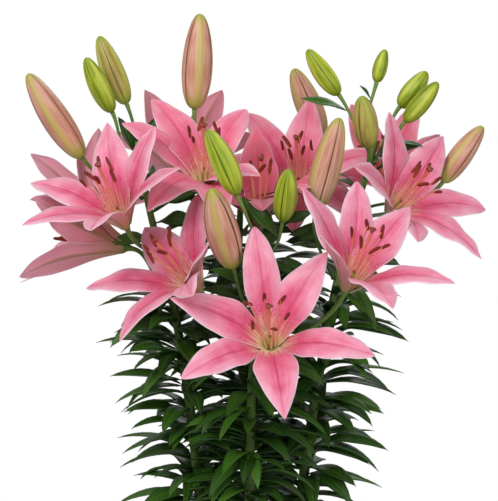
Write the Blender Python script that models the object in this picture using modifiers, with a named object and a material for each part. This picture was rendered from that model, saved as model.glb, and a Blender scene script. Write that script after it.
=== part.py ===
"""Potted lily: four leafy stems with open flowers and buds, growing from bulbs in a plain pot.

The frame has its origin at the centre of the pot's base, +Z up, and the front of the plant faces -Y.
Every length in the tables below is in millimetres and every angle in degrees. MM turns them into metres.
Each flower is two nodes: its six petals, which are joined in one ring at their feet, and its stalk, which
carries the pistil and the six stamens. Each bud is one node with its own stalk. Leaves grow from the side
faces of their stem, so that a stem and its leaves are one node.
"""
import bmesh
import bpy
import numpy as np

MM = 0.001

# Pot and potting mix
POT_HEIGHT = 135.0
POT_BASE_RADIUS = 54.0
POT_RIM_RADIUS = 76.0
POT_COLLAR = 13.0
POT_COLLAR_STEP = 2.2
POT_WALL = 2.0
POT_FLOOR = 3.0
POT_SEGMENTS = 32
DRAIN_COUNT = 6
DRAIN_RADIUS = 3.5
DRAIN_RING = 34.0
SOIL_TOP = 116.0
SOIL_CROWN = 3.0
TOUCH_GAP = 0.35

# Bulbs and stems
BULB_RADIUS = 19.0
BULB_CENTRE = 58.0
STEM_FOOT = 79.0
STEM_HOLE = 6.4
STEM_RADIUS = 4.6
STEM_TOP_RADIUS = 2.3
STEM_SIDES = 6
ROW_HEIGHT = 7.2
TOP_ROW_HEIGHT = 14.0

# Leaves
LEAF_LOW = 146.0
LEAF_LENGTH = 60.0
LEAF_WIDTH = 12.0
LEAF_THICK = 0.9
LEAF_CLEARANCE = 4.2
FORK_CLEARANCE = 9.0
GOLDEN_ANGLE = 137.5

# Flowers
RING_RADIUS = 4.3
RING_DEPTH = 3.0
PETAL_THICK = 0.9
OUTER_HALF_WIDTH = 12.5
INNER_HALF_WIDTH = 15.5
PETAL_CUP = 0.25
PETAL_GAP = 0.8
RECEPTACLE_RADIUS = 2.8
STALK_RADIUS = 1.8
STAMEN_LENGTH = 57.0
PISTIL_LENGTH = 60.0
STAMEN_LEAN = 0.34
BUD_STALK_RADIUS = 1.5
FORK_GAP = 0.5

# Each stem: the points its centre passes through, the height where its leaves stop, and its upper
# leaves as (height, direction, length, rise).
STEMS = {
    "front": dict(route=((0, -32, 79), (0, -32, 132), (1, -35, 240), (4, -40, 325), (10, -42, 396)),
                  leafy=322, upper=((352, -20, 34, 50), (366, 150, 30, 60), (388, 60, 32, 62))),
    "left": dict(route=((-37, 4, 79), (-37, 4, 132), (-46, 5, 240), (-62, 8, 345), (-80, 30, 410),
                        (-92, 38, 470)),
                 leafy=352, upper=((412, 20, 40, 35), (452, 75, 32, 70), (462, 200, 24, 55))),
    "right": dict(route=((37, 4, 79), (37, 4, 132), (50, 6, 240), (68, 8, 345), (86, 26, 412),
                         (104, 42, 470)),
                  leafy=352, upper=((392, -60, 36, 30), (455, 165, 42, 52), (461, 20, 24, 60))),
    "back": dict(route=((0, 38, 79), (0, 38, 132), (-4, 40, 240), (-8, 40, 370), (-6, 42, 440)),
                 leafy=366, upper=((396, 120, 34, 40), (420, 230, 32, 50), (436, 30, 28, 65))),
}

# Each flower: its stem and the height where its stalk leaves it, its receptacle, the direction and
# elevation that it faces, the turn of its first petal, petal length, the angles from its axis at which a
# petal starts and ends, which petals are the broad inner ones, and each petal's own turn, curl and reach.
FLOWERS = {
    "upper_left": dict(stem="left", fork=372, base=(-97, -30, 409), face=(-37, 55), roll=-36, length=85,
                       open=(28, 82), broad=0, turn=(5, -9, -5, 6, 4, 0), curl=(-5, -15, 0, 0, 0, 5),
                       reach=(2, -6, 2, 1, 2, -2)),
    "far_left": dict(stem="left", fork=360, base=(-100, 15, 386), face=(-100, 12), roll=0, length=92,
                     open=(22, 72), broad=1, turn=(0, 0, 0, 0, 0, 0), curl=(15, -10, -8, -35, -20, -10),
                     reach=(0, 0, 0, 0, 0, 0)),
    "rear_left": dict(stem="left", fork=392, base=(-131, 122, 392), face=(-172, 45), roll=0, length=84,
                      open=(25, 72), broad=0, turn=(0, 0, 0, 0, 0, 0), curl=(0, 0, 0, 0, 0, 0),
                      reach=(0, 0, 0, 0, 0, 0)),
    "centre_left": dict(stem="front", fork=312, base=(-39, -50, 360), face=(-55, 45), roll=-4, length=85,
                        open=(30, 87), broad=1, turn=(-11, 27, -2, -3, -5, -5), curl=(-5, -20, 5, 20, 0, 10),
                        reach=(-6, -3, 0, 1, 4, -4)),
    "centre_front": dict(stem="front", fork=292, base=(16, -88, 322), face=(-2, 40), roll=-12, length=89,
                         open=(34, 96), broad=1, turn=(3, -11, 2, 3, 5, -2), curl=(-5, -10, 5, 5, 0, 0),
                         reach=(4, -5, 2, 0, 0, -3)),
    "centre_right": dict(stem="front", fork=302, base=(75, -65, 364), face=(33, 54), roll=16, length=87,
                         open=(27, 78), broad=1, turn=(4, -15, 2, 0, 4, 6), curl=(-5, 3, 5, 10, -25, -15),
                         reach=(-3, -3, 0, 0, 0, 0)),
    "right": dict(stem="right", fork=372, base=(114, 24, 412), face=(43, 40), roll=-11, length=85,
                  open=(30, 89), broad=1, turn=(12, 5, 3, -4, -11, -5), curl=(-15, 0, 10, 5, -5, -7),
                  reach=(-4, 0, -3, 5, 0, 0)),
    "top_middle": dict(stem="back", fork=392, base=(-35, -9, 438), face=(0, 58), roll=-14, length=82,
                       open=(30, 95), broad=0, turn=(-22, -17, 30, 0, -7, 6), curl=(0, 5, -15, 30, 35, -5),
                       reach=(5, -6, -8, -14, -8, 0)),
    "top_rear": dict(stem="back", fork=404, base=(-55, 82, 435), face=(180, 45), roll=30, length=82,
                     open=(25, 80), broad=0, turn=(0, 0, 0, 0, 0, 0), curl=(0, 0, 0, 0, 0, 0),
                     reach=(0, 0, 0, 0, 0, 0)),
    "middle": dict(stem="back", fork=380, base=(8, 25, 402), face=(5, 72), roll=0, length=86,
                   open=(18, 78), broad=0, turn=(0, 35, 27, 3, 25, -7), curl=(-10, 20, 0, 20, 22, 35),
                   reach=(0, 0, 0, 0, -20, -20)),
    "rear_middle": dict(stem="back", fork=414, base=(42, 74, 423), face=(-7, 57), roll=18, length=84,
                        open=(26, 82), broad=0, turn=(-12, 0, 0, -19, 9, 0), curl=(-7, 33, 50, 60, 26, 2),
                        reach=(0, 0, 0, -15, 0, 0)),
    "rear_right": dict(stem="right", fork=404, base=(122, 115, 423), face=(-23, 47), roll=20, length=80,
                       open=(22, 60), broad=0, turn=(0, 0, 0, 0, 0, 0), curl=(25, 0, 0, 0, 10, -5),
                       reach=(0, 0, 0, 0, 0, 0)),
}

# Each bud: its stem and the height where its stalk leaves it, its foot, its tip and its width.
BUDS = {
    "far_left": dict(stem="left", fork=424, foot=(-133, 6, 459), tip=(-174, -8, 526), width=23),
    "left_short": dict(stem="left", fork=446, foot=(-111, 35, 494), tip=(-131, 25, 538), width=17),
    "left_tall": dict(stem="left", fork=458, foot=(-100, 47, 500), tip=(-122, 47, 555), width=20),
    "top": dict(stem="back", fork=436, foot=(-44, 22, 497), tip=(-39, 18, 573), width=25),
    "middle_green": dict(stem="front", fork=392, foot=(-9, -85, 438), tip=(-31, -92, 487), width=19.5),
    "middle_ripe": dict(stem="front", fork=340, foot=(-12, -62, 380), tip=(-28, -97, 443), width=26),
    "middle_short": dict(stem="front", fork=384, foot=(26, -45, 414), tip=(30, -65, 455), width=18.5),
    "rear_ripe": dict(stem="back", fork=372, foot=(63, 118, 470), tip=(38, 112, 527), width=23),
    "rear_green": dict(stem="right", fork=462, foot=(74, 60, 507), tip=(48, 60, 544), width=17),
    "tall_right": dict(stem="right", fork=360, foot=(53, -10, 420), tip=(71, -20, 492), width=24),
    "dark_right": dict(stem="right", fork=440, foot=(96, 20, 467), tip=(89, -5, 508), width=20.5),
    "tiny": dict(stem="right", fork=468, foot=(105, 60, 517), tip=(112, 60, 544), width=12),
    "pair_inner": dict(stem="right", fork=456, foot=(124, 58, 497), tip=(146, 58, 526), width=17),
    "pair_outer": dict(stem="right", fork=446, foot=(127, 40, 486), tip=(153, 35, 518), width=15.5),
    "far_right": dict(stem="right", fork=416, foot=(160, 56, 435), tip=(193, 60, 481), width=19),
}

# Colours (linear), roughness
GREEN_LEAF = (0.045, 0.13, 0.03)
GREEN_STEM = (0.10, 0.22, 0.04)
PINK = (0.78, 0.22, 0.33)
BUD_TAN = (0.55, 0.36, 0.20)
BUD_GREEN = (0.33, 0.45, 0.05)
POT_BLACK = (0.03, 0.03, 0.032)
SOIL_BROWN = (0.06, 0.035, 0.02)
BULB_CREAM = (0.70, 0.62, 0.42)
RIPE_BUDS = ("far_left", "top", "middle_ripe", "rear_ripe", "tall_right", "far_right")


# ---------------------------------------------------------------- directions and routes

def unit(vectors):
    """Each row scaled to length 1."""
    vectors = np.asarray(vectors, float)
    return vectors / np.linalg.norm(vectors, axis=-1, keepdims=True)


def facing(azimuth, elevation):
    """Axis, 'up' and 'right' of a flower that faces azimuth (0 is the front, +90 is +X) and elevation."""
    a, e = np.radians((azimuth, elevation))
    axis = np.array((np.sin(a) * np.cos(e), -np.cos(a) * np.cos(e), np.sin(e)))
    up = np.array((-np.sin(a) * np.sin(e), np.cos(a) * np.sin(e), np.cos(e)))
    right = np.array((np.cos(a), np.sin(a), 0.0))
    return axis, up, right


def smooth_route(points, count):
    """Catmull-Rom curve through the points, sampled evenly along its length."""
    points = np.asarray(points, float)
    padded = np.vstack((2 * points[0] - points[1], points, 2 * points[-1] - points[-2]))
    t = np.linspace(0, 1, 30, endpoint=False)[:, None]
    runs = []
    for p0, p1, p2, p3 in zip(padded, padded[1:], padded[2:], padded[3:]):
        runs.append(0.5 * (2 * p1 + (p2 - p0) * t + (2 * p0 - 5 * p1 + 4 * p2 - p3) * t ** 2
                           + (3 * p1 - p0 - 3 * p2 + p3) * t ** 3))
    return resample(np.vstack(runs + [points[-1:]]), count)


def resample(line, count):
    """The polyline's points, evenly spaced along its length."""
    along = np.concatenate(([0], np.cumsum(np.linalg.norm(np.diff(line, axis=0), axis=1))))
    wanted = np.linspace(0, along[-1], count)
    return np.stack([np.interp(wanted, along, line[:, i]) for i in range(3)], axis=1)


def arc_route(start, start_way, end, end_way, count):
    """Hermite curve that leaves start along start_way and reaches end along end_way."""
    reach = 1.1 * np.linalg.norm(end - start)
    t = np.linspace(0, 1, 60)[:, None]
    line = ((2 * t ** 3 - 3 * t ** 2 + 1) * start + (t ** 3 - 2 * t ** 2 + t) * reach * start_way
            + (3 * t ** 2 - 2 * t ** 3) * end + (t ** 3 - t ** 2) * reach * end_way)
    return resample(line, count)


def tangents(line):
    """Unit direction at each point of a polyline."""
    return unit(np.gradient(line, axis=0))


def carried_frames(line, last_side):
    """Two cross directions at each point, carried back without twist from the last point's side."""
    ways = tangents(line)
    sides = np.zeros_like(line)
    side = np.asarray(last_side, float)
    for i in range(len(line) - 1, -1, -1):
        side = side - ways[i] * (side @ ways[i])
        side = side / np.linalg.norm(side)
        sides[i] = side
    return sides, np.cross(ways, sides)


def stem_line(name):
    """Fine centre line of a stem."""
    return smooth_route(STEMS[name]["route"], 400)


def stem_radius(height, top):
    """Stem radius at a height: it tapers towards the top of its flower head."""
    share = np.clip((height - STEM_FOOT) / (top - STEM_FOOT), 0, 1)
    return STEM_RADIUS + (STEM_TOP_RADIUS - STEM_RADIUS) * share ** 1.5


def fork(stem, height, target, radius):
    """Start point and direction of a stalk that leaves the stem at a height, towards the target."""
    line = stem_line(stem)
    here = np.argmin(abs(line[:, 2] - height))
    centre, along = line[here], tangents(line)[here]
    out = np.asarray(target, float) - centre
    out = unit(out - along * (out @ along))
    clear = stem_radius(height, line[-1, 2]) + FORK_GAP + 0.75 * radius
    return centre + out * clear, unit(out + 0.9 * along)


def flower_stalk(flower, count):
    """Centre line of a flower's stalk, up to its receptacle."""
    axis = facing(*flower["face"])[0]
    base = np.asarray(flower["base"], float)
    start, way = fork(flower["stem"], flower["fork"], base - 14 * axis, STALK_RADIUS)
    return arc_route(start, way, base - 7 * axis, axis, count)


def bud_stalk(bud, count):
    """Centre line of a bud's stalk, up to the bud's foot."""
    foot = np.asarray(bud["foot"], float)
    axis = unit(np.asarray(bud["tip"], float) - foot)
    start, way = fork(bud["stem"], bud["fork"], foot - 12 * axis, BUD_STALK_RADIUS)
    return arc_route(start, way, foot, axis, count)


# ---------------------------------------------------------------- petals

def petal_angle(flower, k):
    """Turn of petal k around the flower's axis, clockwise from up as seen from the front."""
    return flower["roll"] + 60 * k + flower["turn"][k]


def petal_half_width(t, widest):
    """Half width at t along a petal: a narrow claw, widest a little past the middle, a pointed tip."""
    rise = 0.3 + 0.7 * np.sin(np.pi / 2 * np.clip(t / 0.52, 0, 1)) ** 1.3
    fall = (1 - np.clip((t - 0.52) / 0.48, 0, 1) ** 2.2) ** 0.75
    return widest * rise * fall


def petal_surface(flower, k, t, u):
    """Points of petal k at t along it and u across it (-1 to 1), as an array (len(t), len(u), 3).

    The midrib leaves the ring at the flower's opening angle and curls outwards by the power 1.1 of t. The
    blade rises towards its sides with the square of u. Near its foot it keeps within its share of the ring.
    """
    axis, up, right = facing(*flower["face"])
    phi = np.radians(petal_angle(flower, k))
    radial = np.cos(phi) * up + np.sin(phi) * right
    side = np.cos(phi) * right - np.sin(phi) * up
    length = flower["length"] + flower["reach"][k]
    start, end = flower["open"]
    fine = np.linspace(0, 1, 81)
    lean = np.radians(start + (end + flower["curl"][k] - start) * fine ** 1.1)
    step = length / 80
    out = RING_RADIUS + np.concatenate(([0], np.cumsum((np.sin(lean[1:]) + np.sin(lean[:-1])) / 2 * step)))
    rise = np.concatenate(([0], np.cumsum((np.cos(lean[1:]) + np.cos(lean[:-1])) / 2 * step)))
    lean, out, rise = (np.interp(t, fine, values) for values in (lean, out, rise))
    midrib = np.asarray(flower["base"], float) + out[:, None] * radial + rise[:, None] * axis
    inward = np.sin(lean)[:, None] * axis - np.cos(lean)[:, None] * radial
    widest = INNER_HALF_WIDTH if k % 2 == flower["broad"] else OUTER_HALF_WIDTH
    width = petal_half_width(t, widest)
    before = (petal_angle(flower, k) - petal_angle(flower, (k - 1) % 6)) % 360 / 2
    after = (petal_angle(flower, (k + 1) % 6) - petal_angle(flower, k)) % 360 / 2
    cup = PETAL_CUP * (1 - 0.7 * t)
    places = []
    for position in u:
        share = np.radians(before if position < 0 else after)
        room = out * np.tan(min(share, 0.8)) - PETAL_GAP
        half = np.minimum(width, room) * abs(position)
        shift = np.sign(position) * half[:, None] * side
        places.append(midrib + shift + (half * abs(position) * cup)[:, None] * inward)
    return np.stack(places, axis=1)


def ring_point(flower, angle, depth):
    """Point of the ring that joins the petals' feet, at an angle and a distance along the petals."""
    axis, up, right = facing(*flower["face"])
    lean = np.radians(flower["open"][0])
    radius = RING_RADIUS + depth * np.sin(lean)
    around = np.cos(np.radians(angle)) * up + np.sin(np.radians(angle)) * right
    return np.asarray(flower["base"], float) + radius * around + depth * np.cos(lean) * axis


# ---------------------------------------------------------------- leaves

def leaf_curve(start, azimuth, length, rise, droop, t):
    """Midrib points and directions at t along a leaf that leaves at angle rise and ends at -droop."""
    a = np.radians(azimuth)
    out = np.array((np.cos(a), np.sin(a), 0.0))
    fine = np.linspace(0, 1, 41)
    tilt = np.radians(rise - (rise + droop) * fine ** 0.9)
    ways = np.cos(tilt)[:, None] * out + np.sin(tilt)[:, None] * np.array((0, 0, 1.0))
    steps = (ways[1:] + ways[:-1]) / 2 * length / 40
    line = start + np.vstack((np.zeros(3), np.cumsum(steps, axis=0)))
    points = np.stack([np.interp(t, fine, line[:, i]) for i in range(3)], axis=1)
    return points, np.stack([np.interp(t, fine, ways[:, i]) for i in range(3)], axis=1)


def leaf_half_width(t, width):
    """Half width at t along a lance-shaped leaf."""
    return width / 2 * np.sin(np.pi * np.clip(t, 0, 1) ** 0.75) ** 0.85 * (1 - 0.15 * t) + 0.25


def leaf_samples(leaf, t):
    """Points on the midrib and near both edges of a leaf."""
    points, ways = leaf_curve(leaf["start"], leaf["azimuth"], leaf["length"], leaf["rise"], leaf["droop"], t)
    side = unit(np.cross(ways, (0, 0, 1.0)))
    half = leaf_half_width(t, leaf["width"])[:, None]
    return np.vstack((points, points - 0.8 * half * side, points + 0.8 * half * side))


def solid_samples():
    """Points on everything that a leaf has to miss: petals, stalks, buds and stems."""
    samples = []
    for flower in FLOWERS.values():
        for k in range(6):
            sheet = petal_surface(flower, k, np.linspace(0.05, 1, 16), (-1, -0.5, 0, 0.5, 1))
            samples.append(sheet.reshape(-1, 3))
        samples.append(flower_stalk(flower, 40))
    for bud in BUDS.values():
        samples.append(bud_stalk(bud, 40))
        foot, tip = np.asarray(bud["foot"], float), np.asarray(bud["tip"], float)
        for angle in np.linspace(0, 2 * np.pi, 6, endpoint=False):
            axis = unit(tip - foot)
            side = unit(np.cross(axis, (0.0, 1.0, 0.2)))
            across = np.cos(angle) * side + np.sin(angle) * np.cross(axis, side)
            t = np.linspace(0.1, 0.95, 12)[:, None]
            samples.append(foot + (tip - foot) * t + across * bud["width"] * 0.45)
    return np.vstack(samples)


def stem_samples(name):
    """Points on a stem's surface."""
    line = resample(stem_line(name), 90)
    angles = np.arange(8)[:, None, None] * np.pi / 4
    around = np.cos(angles) * np.array((1.0, 0, 0)) + np.sin(angles) * np.array((0, 1.0, 0))
    return (line + around * stem_radius(line[:, 2], line[-1, 2])[:, None]).reshape(-1, 3)


def fork_points():
    """Where the stalks leave the stems."""
    flowers = [flower_stalk(flower, 3)[0] for flower in FLOWERS.values()]
    return np.array(flowers + [bud_stalk(bud, 3)[0] for bud in BUDS.values()])


def plan_leaves():
    """Every stem's leaves, in one fixed order, each kept only as long as the room around it allows."""
    random = np.random.default_rng(7)
    solids = solid_samples()
    forks = fork_points()
    t = np.linspace(0.12, 1, 12)
    taken = {name: [stem_samples(name)] for name in STEMS}
    plan = {name: [] for name in STEMS}
    candidates = []
    for index, (name, stem) in enumerate(STEMS.items()):
        rows = int((stem["leafy"] - LEAF_LOW) / ROW_HEIGHT)
        for row in range(rows):
            for pair in range(2):
                candidates.append((row, index, name, LEAF_LOW + row * ROW_HEIGHT, pair))
        for upper in stem["upper"]:
            candidates.append((1000, index, name, *upper))
    for candidate in sorted(candidates, key=lambda item: item[:2]):
        if candidate[0] == 1000:
            _, index, name, height, azimuth, length, rise = candidate
            width, droop = 0.36 * length, 5 - rise
        else:
            row, index, name, height, pair = candidate
            azimuth = (row * GOLDEN_ANGLE + pair * 180 + index * 47) % 360 + random.uniform(-9, 9)
            length = LEAF_LENGTH * random.uniform(0.86, 1.14)
            width = LEAF_WIDTH * random.uniform(0.88, 1.14)
            rise, droop = random.uniform(22, 42), random.uniform(12, 34)
        leaf = fit_leaf(name, height, azimuth, length, width, rise, droop, taken, solids, t)
        if leaf and np.linalg.norm(forks - leaf["start"], axis=1).min() > FORK_CLEARANCE:
            plan[name].append(leaf)
            taken[name].append(leaf_samples(leaf, t))
    return plan


def fit_leaf(name, height, azimuth, length, width, rise, droop, taken, solids, t):
    """The leaf, shortened until it clears everything around it, or None where there is no room."""
    line = stem_line(name)
    centre = line[np.argmin(abs(line[:, 2] - height))]
    radius = stem_radius(height, line[-1, 2])
    others = np.vstack([points for stem in taken if stem != name for points in taken[stem]] + [solids])
    own = np.vstack(taken[name][1:]) if len(taken[name]) > 1 else np.zeros((0, 3))
    a = np.radians(azimuth)
    start = centre + radius * np.array((np.cos(a), np.sin(a), 0))
    for share in (1.0, 0.8, 0.62, 0.46):
        leaf = dict(start=start, height=height, azimuth=azimuth, length=length * share,
                    width=width * share ** 0.5, rise=rise, droop=droop)
        points = leaf_samples(leaf, t)
        far = points[np.tile(t > 0.35, 3)]
        clear = nearest(points, others) > LEAF_CLEARANCE
        if clear and (len(own) == 0 or nearest(far, own) > LEAF_CLEARANCE * 0.6):
            return leaf
    return None


def nearest(points, others):
    """Smallest distance between two sets of points."""
    close = others[np.all(abs(others - points.mean(axis=0)) < 75, axis=1)]
    if len(close) == 0:
        return 1e9
    return np.sqrt(((points[:, None] - close[None]) ** 2).sum(axis=2).min())


# ---------------------------------------------------------------- mesh building

def place(face, ring):
    """Puts a face's corners on the ring's points, which are in millimetres."""
    for vert, point in zip(face.verts, ring):
        vert.co = np.asarray(point) * MM


def side_faces(face):
    """The faces around a face's edges, in the order of its edges."""
    return [next(other for other in edge.link_faces if other is not face) for edge in face.edges]


def extrude_to(bm, face, ring):
    """Extrudes a face and puts the new face on the ring. Returns the new face."""
    new_face = bmesh.ops.extrude_discrete_faces(bm, faces=[face])["faces"][0]
    place(new_face, ring)
    return new_face


def loft(bm, rings):
    """Closed tube through the rings. Returns the rows of side faces."""
    circle = bmesh.ops.create_circle(bm, cap_ends=True, segments=len(rings[0]), radius=MM)
    bottom = circle["verts"][0].link_faces[0]
    place(bottom, rings[0])
    geometry = bmesh.ops.extrude_face_region(bm, geom=[bottom], use_keep_orig=True)["geom"]
    top = next(item for item in geometry if isinstance(item, bmesh.types.BMFace))
    place(top, rings[1])
    rows = [side_faces(top)]
    for ring in rings[2:]:
        top = extrude_to(bm, top, ring)
        rows.append(side_faces(top))
    return rows


def ring_around(centre, side, across, radius, sides, turn=0.0):
    """Points of a regular ring around a centre."""
    angles = np.radians(turn) + np.arange(sides) * 2 * np.pi / sides
    return centre + radius * (np.cos(angles)[:, None] * side + np.sin(angles)[:, None] * across)


def matched_corners(points, side, normal):
    """The signs (across, above) of a rectangle's corners, in the turn that best fits four points."""
    flat = (points - points.mean(axis=0)) @ np.stack((side, normal), axis=1)
    square = np.array(((-1, -1), (1, -1), (1, 1), (-1, 1)))
    turned_squares = [np.roll(way, step, axis=0) for way in (square, square[::-1]) for step in range(4)]
    return max(turned_squares, key=lambda corners: (corners * flat).sum())


def blade(bm, face, centres, sides, normals, half_widths, half_thicknesses):
    """Extrudes a four-sided face into a flat blade through the given stations."""
    corners = matched_corners(np.array([vert.co for vert in face.verts]), sides[0], normals[0])
    for centre, side, normal, width, thick in zip(centres, sides, normals, half_widths, half_thicknesses):
        face = extrude_to(bm, face, centre + corners[:, :1] * width * side + corners[:, 1:] * thick * normal)


def add_object(bm, name, colour, roughness, collection):
    """Turns a bmesh into an object with its own material."""
    bmesh.ops.recalc_face_normals(bm, faces=bm.faces)
    mesh = bpy.data.meshes.new(name)
    bm.to_mesh(mesh)
    bm.free()
    mesh.shade_smooth()
    mesh.set_sharp_from_angle(angle=0.7)
    item = bpy.data.objects.new(name, mesh)
    collection.objects.link(item)
    material = bpy.data.materials.new(name)
    material.use_nodes = True
    shader = material.node_tree.nodes["Principled BSDF"]
    shader.inputs["Base Color"].default_value = (*colour, 1)
    shader.inputs["Roughness"].default_value = roughness
    mesh.materials.append(material)
    return item


# ---------------------------------------------------------------- plant parts

def make_stem(name, leaves, collection):
    """A stem lofted row by row, with a leaf grown from the side face nearest to each planned leaf."""
    line = stem_line(name)
    top = line[-1, 2]
    leafy = STEMS[name]["leafy"]
    heights = [STEM_FOOT, LEAF_LOW - 20]
    heights += list(np.arange(LEAF_LOW - ROW_HEIGHT / 2, leafy + ROW_HEIGHT, ROW_HEIGHT))
    heights += list(np.arange(heights[-1] + TOP_ROW_HEIGHT / 2, top - 4, TOP_ROW_HEIGHT / 2))
    heights.append(top)
    index = [np.argmin(abs(line[:, 2] - height)) for height in heights]
    spine = line[index]
    ways = tangents(line)[index]
    right = unit(np.cross((0, 1.0, 0), ways))
    forward = np.cross(ways, right)
    rings = []
    for centre, side, across, height in zip(spine, right, forward, heights):
        rings.append(ring_around(centre, side, across, stem_radius(height, top), STEM_SIDES, 30))
    bm = bmesh.new()
    rows = loft(bm, rings)
    turns = [[side_azimuth(face, centre) for face in row] for row, centre in zip(rows, spine)]
    grown = set()
    for leaf in leaves:
        row = int(np.searchsorted(heights, leaf["height"])) - 1
        side = int(np.argmin([turn_between(turn, leaf["azimuth"]) for turn in turns[row]]))
        if (row, side) not in grown:
            grown.add((row, side))
            grow_leaf(bm, rows[row][side], leaf)
    return add_object(bm, f"stem_{name}", GREEN_STEM, 0.55, collection)


def side_azimuth(face, centre):
    """Direction that a side face points in, in degrees."""
    middle = np.asarray(face.calc_center_median()) / MM - centre
    return np.degrees(np.arctan2(middle[1], middle[0]))


def turn_between(first, second):
    """Smallest angle between two directions, in degrees."""
    return abs((first - second + 180) % 360 - 180)


def grow_leaf(bm, face, leaf):
    """Grows one lance-shaped leaf out of a stem's side face."""
    t = np.array((0.3, 0.7, 1.0))
    centres, ways = leaf_curve(leaf["start"], leaf["azimuth"], leaf["length"], leaf["rise"], leaf["droop"], t)
    sides = unit(np.cross(ways, (0, 0, 1.0)))
    normals = np.cross(sides, ways)
    thick = np.array((1.0, 0.9, 0.4)) * LEAF_THICK / 2
    blade(bm, face, centres, sides, normals, leaf_half_width(t, leaf["width"]), thick)


def make_petals(name, flower, collection):
    """Six petals whose feet meet in one ring: a grid for each petal, bent, welded and thickened."""
    bm = bmesh.new()
    rows = np.array((0.2, 0.45, 0.73, 1.0))
    for k in range(6):
        grid = bmesh.ops.create_grid(bm, x_segments=2, y_segments=len(rows) + 1, size=1.0)
        verts = sorted(grid["verts"], key=lambda vert: (round(vert.co.y, 4), vert.co.x))
        here = petal_angle(flower, k)
        before = here - (here - petal_angle(flower, (k - 1) % 6)) % 360 / 2
        after = here + (petal_angle(flower, (k + 1) % 6) - here) % 360 / 2
        surface = petal_surface(flower, k, rows, (-1, 0, 1))
        points = [ring_point(flower, angle, 0) for angle in (before, here, after)]
        points += [ring_point(flower, angle, RING_DEPTH) for angle in (before, here, after)]
        points += list(surface.reshape(-1, 3))
        for vert, point in zip(verts, points):
            vert.co = point * MM
    bmesh.ops.remove_doubles(bm, verts=bm.verts, dist=0.02 * MM)
    item = add_object(bm, f"petals_{name}", PINK, 0.5, collection)
    shell = item.modifiers.new("Thickness", "SOLIDIFY")
    shell.thickness = PETAL_THICK * MM
    shell.offset = 0.0
    return item


def make_flower_stalk(name, flower, collection):
    """A flower's stalk with its receptacle, pistil and six stamens, as one body."""
    axis, up, right = facing(*flower["face"])
    line = flower_stalk(flower, 6)
    base = np.asarray(flower["base"], float)
    steps = np.array((-3, 0, 4, 6, 17, 24, PISTIL_LENGTH - 5, PISTIL_LENGTH - 2, PISTIL_LENGTH))
    head = base + steps[:, None] * axis
    radii = [STALK_RADIUS] * len(line)
    radii += [RECEPTACLE_RADIUS, RECEPTACLE_RADIUS, RECEPTACLE_RADIUS, 2.2, 1.9, 0.9, 0.9, 2.3, 1.2]
    spine = np.vstack((line, head))
    turned = np.radians(flower["roll"])
    sides, across = carried_frames(spine, np.cos(turned) * up + np.sin(turned) * right)
    rings = [ring_around(*station, 6, 30) for station in zip(spine, sides, across, radii)]
    bm = bmesh.new()
    rows = loft(bm, rings)
    stamen_row = rows[len(line) + 1]
    middles = np.array([face.calc_center_median() for face in stamen_row]) / MM - base
    for k in range(6):
        phi = np.radians(flower["roll"] + 60 * k)
        radial = np.cos(phi) * up + np.sin(phi) * right
        face = stamen_row[int(np.argmax(middles @ radial))]
        grow_stamen(bm, face, base, axis, radial, STAMEN_LEAN * flower["open"][0])
    return add_object(bm, f"stalk_{name}", GREEN_STEM, 0.5, collection)


def grow_stamen(bm, face, base, axis, radial, lean):
    """Grows a filament and its anther out of a receptacle face."""
    along = np.array((0.82, 0.88, 1.0)) * STAMEN_LENGTH
    angle = np.radians(lean)
    way = np.cos(angle) * axis + np.sin(angle) * radial
    centres = base + 2 * axis + RECEPTACLE_RADIUS * radial + along[:, None] * way
    side = np.cross(way, radial)
    side = side / np.linalg.norm(side)
    normal = np.cross(side, way)
    widths = np.array((0.6, 1.5, 0.7))
    blade(bm, face, centres, [side] * 3, [normal] * 3, widths, np.array((0.5, 0.9, 0.5)))


def make_bud(name, bud, collection):
    """A bud with its stalk, lofted along its own axis."""
    line = bud_stalk(bud, 6)
    foot, tip = np.asarray(bud["foot"], float), np.asarray(bud["tip"], float)
    along = np.array((0.05, 0.18, 0.42, 0.66, 0.86, 0.97, 1.0))
    shape = np.array((0.50, 0.82, 1.0, 0.92, 0.62, 0.30, 0.10))
    spine = np.vstack((line, foot + along[:, None] * (tip - foot)))
    radii = np.concatenate((np.full(len(line), BUD_STALK_RADIUS), shape * bud["width"] / 2))
    sides, across = carried_frames(spine, np.cross(tip - foot, (0, 1.0, 0.1)))
    bm = bmesh.new()
    loft(bm, [ring_around(*station, 6, 30) for station in zip(spine, sides, across, radii)])
    return add_object(bm, f"bud_{name}", BUD_TAN if name in RIPE_BUDS else BUD_GREEN, 0.45, collection)


def make_bulb(name, route, collection):
    """A round bulb under a stem."""
    bm = bmesh.new()
    bmesh.ops.create_uvsphere(bm, u_segments=10, v_segments=6, radius=BULB_RADIUS * MM)
    bmesh.ops.translate(bm, verts=bm.verts, vec=(route[0][0] * MM, route[0][1] * MM, BULB_CENTRE * MM))
    return add_object(bm, f"bulb_{name}", BULB_CREAM, 0.6, collection)


# ---------------------------------------------------------------- pot and potting mix

def turned(name, profile, segments, colour, roughness, collection):
    """A turned solid from a profile of (radius, height) points that starts and ends on the axis."""
    bm = bmesh.new()
    verts = [bm.verts.new((radius * MM, 0, height * MM)) for radius, height in profile]
    for first, second in zip(verts, verts[1:]):
        bm.edges.new((first, second))
    item = add_object(bm, name, colour, roughness, collection)
    screw = item.modifiers.new("Turn", "SCREW")
    screw.steps = segments
    screw.render_steps = segments
    screw.use_merge_vertices = True
    screw.merge_threshold = 0.00005
    screw.use_smooth_shade = True
    return item


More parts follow.
